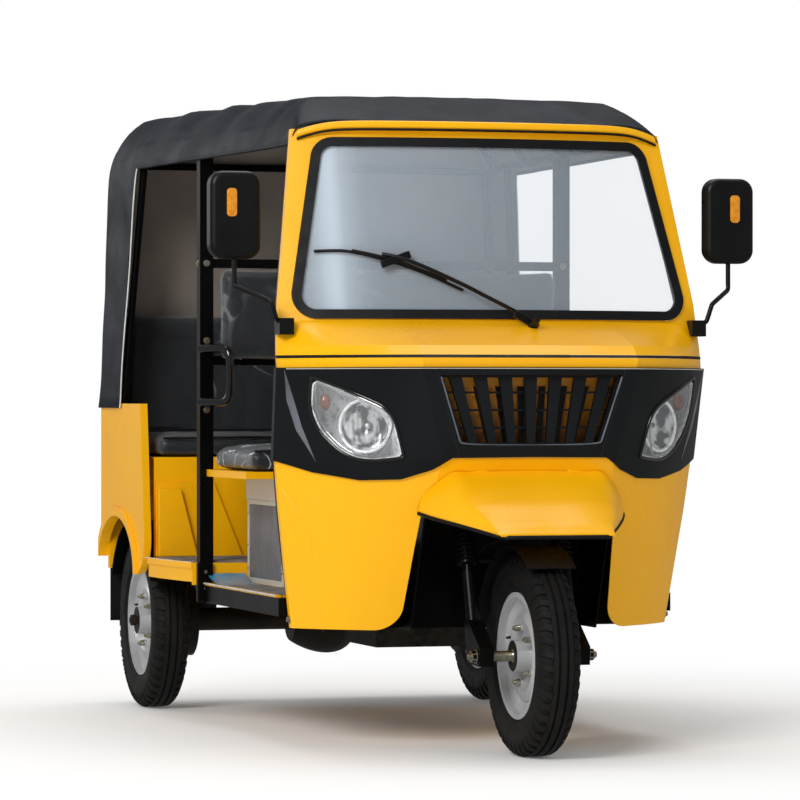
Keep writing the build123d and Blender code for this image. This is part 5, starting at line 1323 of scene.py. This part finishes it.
filmForm = {"x": (-551, -440), "y": (64, 278), "z": 408.8, "wrinkle": 1.6, "curl": 26.0}


def filmPoint(u, v):
    x, y = between(*filmForm["x"], (u + 1) / 2), between(*filmForm["y"], v)
    rise = filmForm["wrinkle"] * abs(noise.noise(Vector((x / 26, y / 32, 0)))) + filmForm["curl"] * v ** 4
    return Vector((x, y, filmForm["z"] + rise))


finished("floorFilm", facingUp(meshOf(grid(24, 40, filmPoint), "film")), blueFilm)

# Bright aluminium lines along the edges of both floors
lineForm = {"radius": 2.6, "floor": (565.0, 407.5, -526, 262), "stepOut": 30.5, "stepZ": 466.0}
for side, word in sides:
    x, z, y0, y1 = lineForm["floor"]
    tube(f"floorLine{word}", [(side * x, between(y0, y1, i / 12), z) for i in range(13)], lineForm["radius"],
         anodised, "steel")
    points = [(side * (stepEdge(y) + lineForm["stepOut"]), y, lineForm["stepZ"]) for y in range(293, 737, 17)]
    tube(f"stepLine{word}", points, lineForm["radius"], anodised, "steel")

# Boxes over the front ends of the wheel arches, at the sides of the passengers' floor
archForm = {"outer": 594.0, "foot": 472.0, "shoulder": 524.0, "z": (468.0, 671.0), "y": (708.0, 745.0)}
shape = bmesh.new()
(y0, y1), (z0, z1) = archForm["y"], archForm["z"]
for side, word in sides:
    for vert in addBlock(shape, (side * archForm["outer"], y0, z0), (side * archForm["foot"], y1, z1)):
        if vert.co.z > (z0 + z1) / 2 * mm and abs(vert.co.x) < archForm["shoulder"] * mm:
            vert.co.x = side * archForm["shoulder"] * mm
softened(finished("archBoxes", shape, yellowEnamel, smooth=False), 4.0, 3)
print("floors covered")


def addPair(add, shape, first, second, *more):
    # A block or a rod given on the vehicle's left, and its mirror image.
    for side, word in sides:
        add(shape, (side * first[0], *first[1:]), (side * second[0], *second[1:]), *more)


# Engine cover
coverForm = {
    "half": 430.0,
    "y": (-120.0, 276.0),
    "z": (409.0, 649.5),
    "strip": 16.0,
    "cornerSheet": 1.6,
    "edgeSheet": 1.8,
    "topEdge": 13.5,
    "rivet": (431, 434, 4.5, 3.2, 14),  # x from and to, radii and corners
    "rivetsAt": [(y, z) for y in (-111, 267) for z in (450, 520, 610)],
}
half, strip, (y0, y1), (low, high) = (coverForm[key] for key in ("half", "strip", "y", "z"))
shape = bmesh.new()
sheet = coverForm["cornerSheet"]
for y, way in ((y0, 1), (y1, -1)):
    addPair(addBlock, shape, (half + sheet, y - way * sheet, low), (half - strip, y + way * strip, high))
for bottom, top in ((high - coverForm["topEdge"], high), (low, low + strip)):
    addPair(addBlock, shape, (half + coverForm["edgeSheet"], y0, bottom), (half, y1, top))
softened(finished("coverStrips", shape, creamEnamel, smooth=False), 1.0)
shape = bmesh.new()
x0, x1, *rivet = coverForm["rivet"]
for y, z in coverForm["rivetsAt"]:
    addPair(addRod, shape, (x0, y, z), (x1, y, z), *rivet)
finished("coverRivets", shape, zincSteel)
print("engine cover trimmed")


# Mirrors, bolts and brackets
mirrorForm = {
    "middle": (704.0, -634.0, 1430.0),
    # offset from the middle, half size, radius and segments of the corners
    "glass": ((0, 22.55, 0), (58, 1.05, 106), 28, 8),
    "amber": ((12.0, -22.25, 33.0), (14, 3.25, 38), 10, 6),
}
for side, word in sides:
    for part in ("glass", "amber"):
        offset, halfSize, radius, segments = mirrorForm[part]
        middle = Vector(mirrorForm["middle"]) + Vector(offset)
        middle.x *= side
        shape = bmesh.new()
        addBlock(shape, middle - Vector(halfSize), middle + Vector(halfSize))
        roundEdges(shape, [e for e in shape.edges if abs(e.verts[0].co.y - e.verts[1].co.y) > mm], radius, segments)
        if part == "glass":
            softened(finished(f"mirrorGlass{word}", shape, mirrorGlass, smooth=False), 0.8)
        else:
            softened(finished(f"mirrorReflector{word}", shape, amberAcrylic), 1.8, 3)

boltForm = {
    "radius": 6.5,
    "height": 6.0,
    "washer": (10.0, 1.0, 2.0),  # radius, and how far in and out it goes
    # x, y, z and the direction they point, on the vehicle's left
    "places": [
        ((545, 310, 1332), (0, -1, 0)), ((545, 310, 1108), (0, -1, 0)), ((545, 310, 908), (0, -1, 0)),
        ((565, 330, 1332), (1, 0, 0)), ((565, 330, 440), (1, 0, 0)),
    ],
}


def bolts(name, shape, bevel=0.8, body="body"):
    softened(finished(name, shape, zincSteel, body, smooth=False), bevel, 1)


shape = bmesh.new()
radius, (washer, inwards, outwards) = boltForm["radius"], boltForm["washer"]
for place, way in boltForm["places"]:
    place, way = Vector(place), Vector(way)
    addPair(addRod, shape, place - way * inwards, place + way * outwards, washer)
    addPair(addRod, shape, place, place + way * boltForm["height"], radius, radius * 0.94, 6)
bolts("frameBolts", shape)

# Bolts at the lower corners of the front panels
panelForm = {"y": -580, "z": 345, "washer": (2, 11), "head": (8, 7.5)}  # height and radius
shape = bmesh.new()
for side, word in sides:
    place = Surface("nose_panel").hit((side * 900, panelForm["y"], panelForm["z"]), (-side, 0, 0))[0]
    for part, corners in (("washer", 24), ("head", 6)):
        height, radius = panelForm[part]
        addRod(shape, place, place + Vector((side * height, 0, 0)), radius, corners=corners)
bolts("panelBolts", shape)

# Black corner brackets between the canopy, the visor and the pillars: two opposite corners of each plate
bracketForm = [((520, -532, 1632), (526, -508, 1662)), ((500, -512, 1632), (526, -508, 1650))]
shape = bmesh.new()
for first, second in bracketForm:
    addPair(addBlock, shape, first, second)
softened(finished("cornerBrackets", shape, blackEnamel, smooth=False), 1.0)

# The middle posts' feet, which carry them past the step and down to the sill
footForm = {
    "block": ((536, 266, 352), (582, 290.6, 468)),  # two opposite corners
    "bolt": (559, 266.5, 262, 6.0, 5.4, 6),  # x, y from and to, radii and corners
    "boltZ": (392, 440),
}
shape = bmesh.new()
addPair(addBlock, shape, *footForm["block"])
softened(finished("postFeet", shape, blackEnamel, smooth=False), 4.0, 3)
shape = bmesh.new()
x, y0, y1, *bolt = footForm["bolt"]
for z in footForm["boltZ"]:
    addPair(addRod, shape, (x, y0, z), (x, y1, z), *bolt)
bolts("footBolts", shape)
print("mirrors and bolts made")


# Steering and front axle
axleForm = {
    "middle": (0, -1035.0, 265.0),
    "sleeve": [(56.0, 13.1), (56.0, 15.6), (58.0, 14.2), (112.5, 14.2), (112.5, 13.1)],  # x and radius
    # x from and to, the radii at both ends and the corners of washer, nut and stub
    "nuts": [(154.0, 157.0, 19, 19, 32), (156.0, 171.0, 16.5, 15.5, 6), (171.0, 178.0, 8.8, 8, 24)],
}
shape = bmesh.new()
for side, word in sides:
    addRing(shape, [(side * x, radius) for x, radius in axleForm["sleeve"]], 48)
shift(shape, axleForm["middle"])
sleeves = finished("axleSleeves", shape, zincSteel, "steering")
sleeves.data.set_sharp_from_angle(angle=math.radians(40))
shape = bmesh.new()
for x0, x1, *more in axleForm["nuts"]:
    addPair(addRod, shape, (x0, 0, 0), (x1, 0, 0), *more)
shift(shape, axleForm["middle"])
bolts("axleNuts", shape, 1.0, "steering")

# Thin stays from the forks to the mudguard
stayForm = {"path": [(112, -905, 520), (100, -960, 560), (76, -1035, 571), (66, -1060, 562)], "radius": 3.2}
for side, word in sides:
    tube(f"guardStay{word}", [(side * x, y, z) for x, y, z in stayForm["path"]], stayForm["radius"], blackEnamel,
         body="steering")

# Grips with rings, and levers on the handlebar
barForm = {
    "from": (205, -701.3, 1009.3),
    "to": (325, -628.3, 993.3),
    "rings": 17,
    "ringHalf": 2.2,
    "radius": 18.6,
    # offsets from the grip's start
    "lever": (-12, -14, -4),
    "leverOut": (0, -34, -6),
    "clamp": ((-6, -22, -6), (-30, 0, 4)),
}
shape = bmesh.new()
start, end = Vector(barForm["from"]), Vector(barForm["to"])
along = (end - start).normalized() * barForm["ringHalf"]
for ring in range(barForm["rings"]):
    middle = start.lerp(end, (ring + 0.5) / barForm["rings"])
    addPair(addRod, shape, middle - along, middle + along, barForm["radius"], None, 28)
lever = start + Vector(barForm["lever"])
addPair(addRod, shape, lever, lever + (end - start) * 0.95 + Vector(barForm["leverOut"]), 5, 3.6, 14)
addPair(addRod, shape, *(start + Vector(offset) for offset in barForm["clamp"]), 17, 15)
softened(finished("gripsAndLevers", shape, blackAbs, "steering"), 1.0, 1)
print("steering dressed")


# Rear
rearForm = {
    "hinge": ((216, 1297, 842), (284, 1297, 842), 6, 6, 18),
    "latch": ((-46, 1293, 520), (46, 1299, 548)),
    "latchBar": ((-30, 1302, 534), (30, 1302, 534), 5),
    "lampX": (495, 585),
    "lampY": (1298.6, 1300.6),
    "lampZ": [(833, 881), (777, 829), (719, 773)],
    "screw": (608, 1287.5, 1290.5, 7, 5, 18),  # x, y from and to, radii and corners
    "screwZ": (440, 620, 780, 900),
    "flap": ((470, 1281, 250), (612, 1284.5, 416)),
}
shape = bmesh.new()
addPair(addRod, shape, *rearForm["hinge"])
addBlock(shape, *rearForm["latch"])
addRod(shape, *rearForm["latchBar"], corners=16)
softened(finished("lidFittings", shape, blackEnamel), 1.2)
(x0, x1), (y0, y1) = rearForm["lampX"], rearForm["lampY"]
for side, word in sides:
    shape = bmesh.new()
    for index, (z0, z1) in enumerate(rearForm["lampZ"]):
        addBlock(shape, (side * x0, y0, z0), (side * x1, y1, z1), index)
    softened(finished(f"tailLampLens{word}", shape, [amberAcrylic, redAcrylic, lensPolycarbonate]), 1.4)
shape = bmesh.new()
x, y0, y1, *screw = rearForm["screw"]
for z in rearForm["screwZ"]:
    addPair(addRod, shape, (x, y0, z), (x, y1, z), *screw)
finished("rearScrews", shape, zincSteel)
# Mud flaps behind the rear wheels
shape = bmesh.new()
addPair(addBlock, shape, *rearForm["flap"])
softened(finished("mudFlaps", shape, epdmRubber, smooth=False), 1.4)
print("rear dressed")


# Floor
shape = bmesh.new()
bmesh.ops.create_grid(shape, x_segments=1, y_segments=1, size=studio["floorSize"])
floor = linked("floor", meshOf(shape, "floor", outwards=False))
paper, tree, shader, where = surface("paleBackdropPaper", studio["floorColour"], 0.8, Specular_IOR_Level=0.1)
distance = addNode(tree, "VectorMath", operation="LENGTH", links={0: where})
fade = addNode(tree, "MapRange", {"From Min": studio["fadeFrom"], "From Max": studio["fadeTo"]},
               {"Value": distance.outputs["Value"]}, interpolation_type="SMOOTHSTEP")
path = addNode(tree, "LightPath")
share = addNode(tree, "Math", operation="MULTIPLY", links={0: fade, 1: path.outputs["Is Camera Ray"]})
glow = addNode(tree, "Emission", {"Color": white, "Strength": 1.0})
mixer = addNode(tree, "MixShader", links={0: share, 1: shader, 2: glow})
dim = addNode(tree, "Emission", {"Color": white, "Strength": studio["mirrored"]})
mixer = addNode(tree, "MixShader", links={0: path.outputs["Is Glossy Ray"], 1: mixer, 2: dim})
tree.links.new(mixer.outputs[0], tree.nodes["Material Output"].inputs["Surface"])
floor.data.materials.append(paper)

print("scene ready")
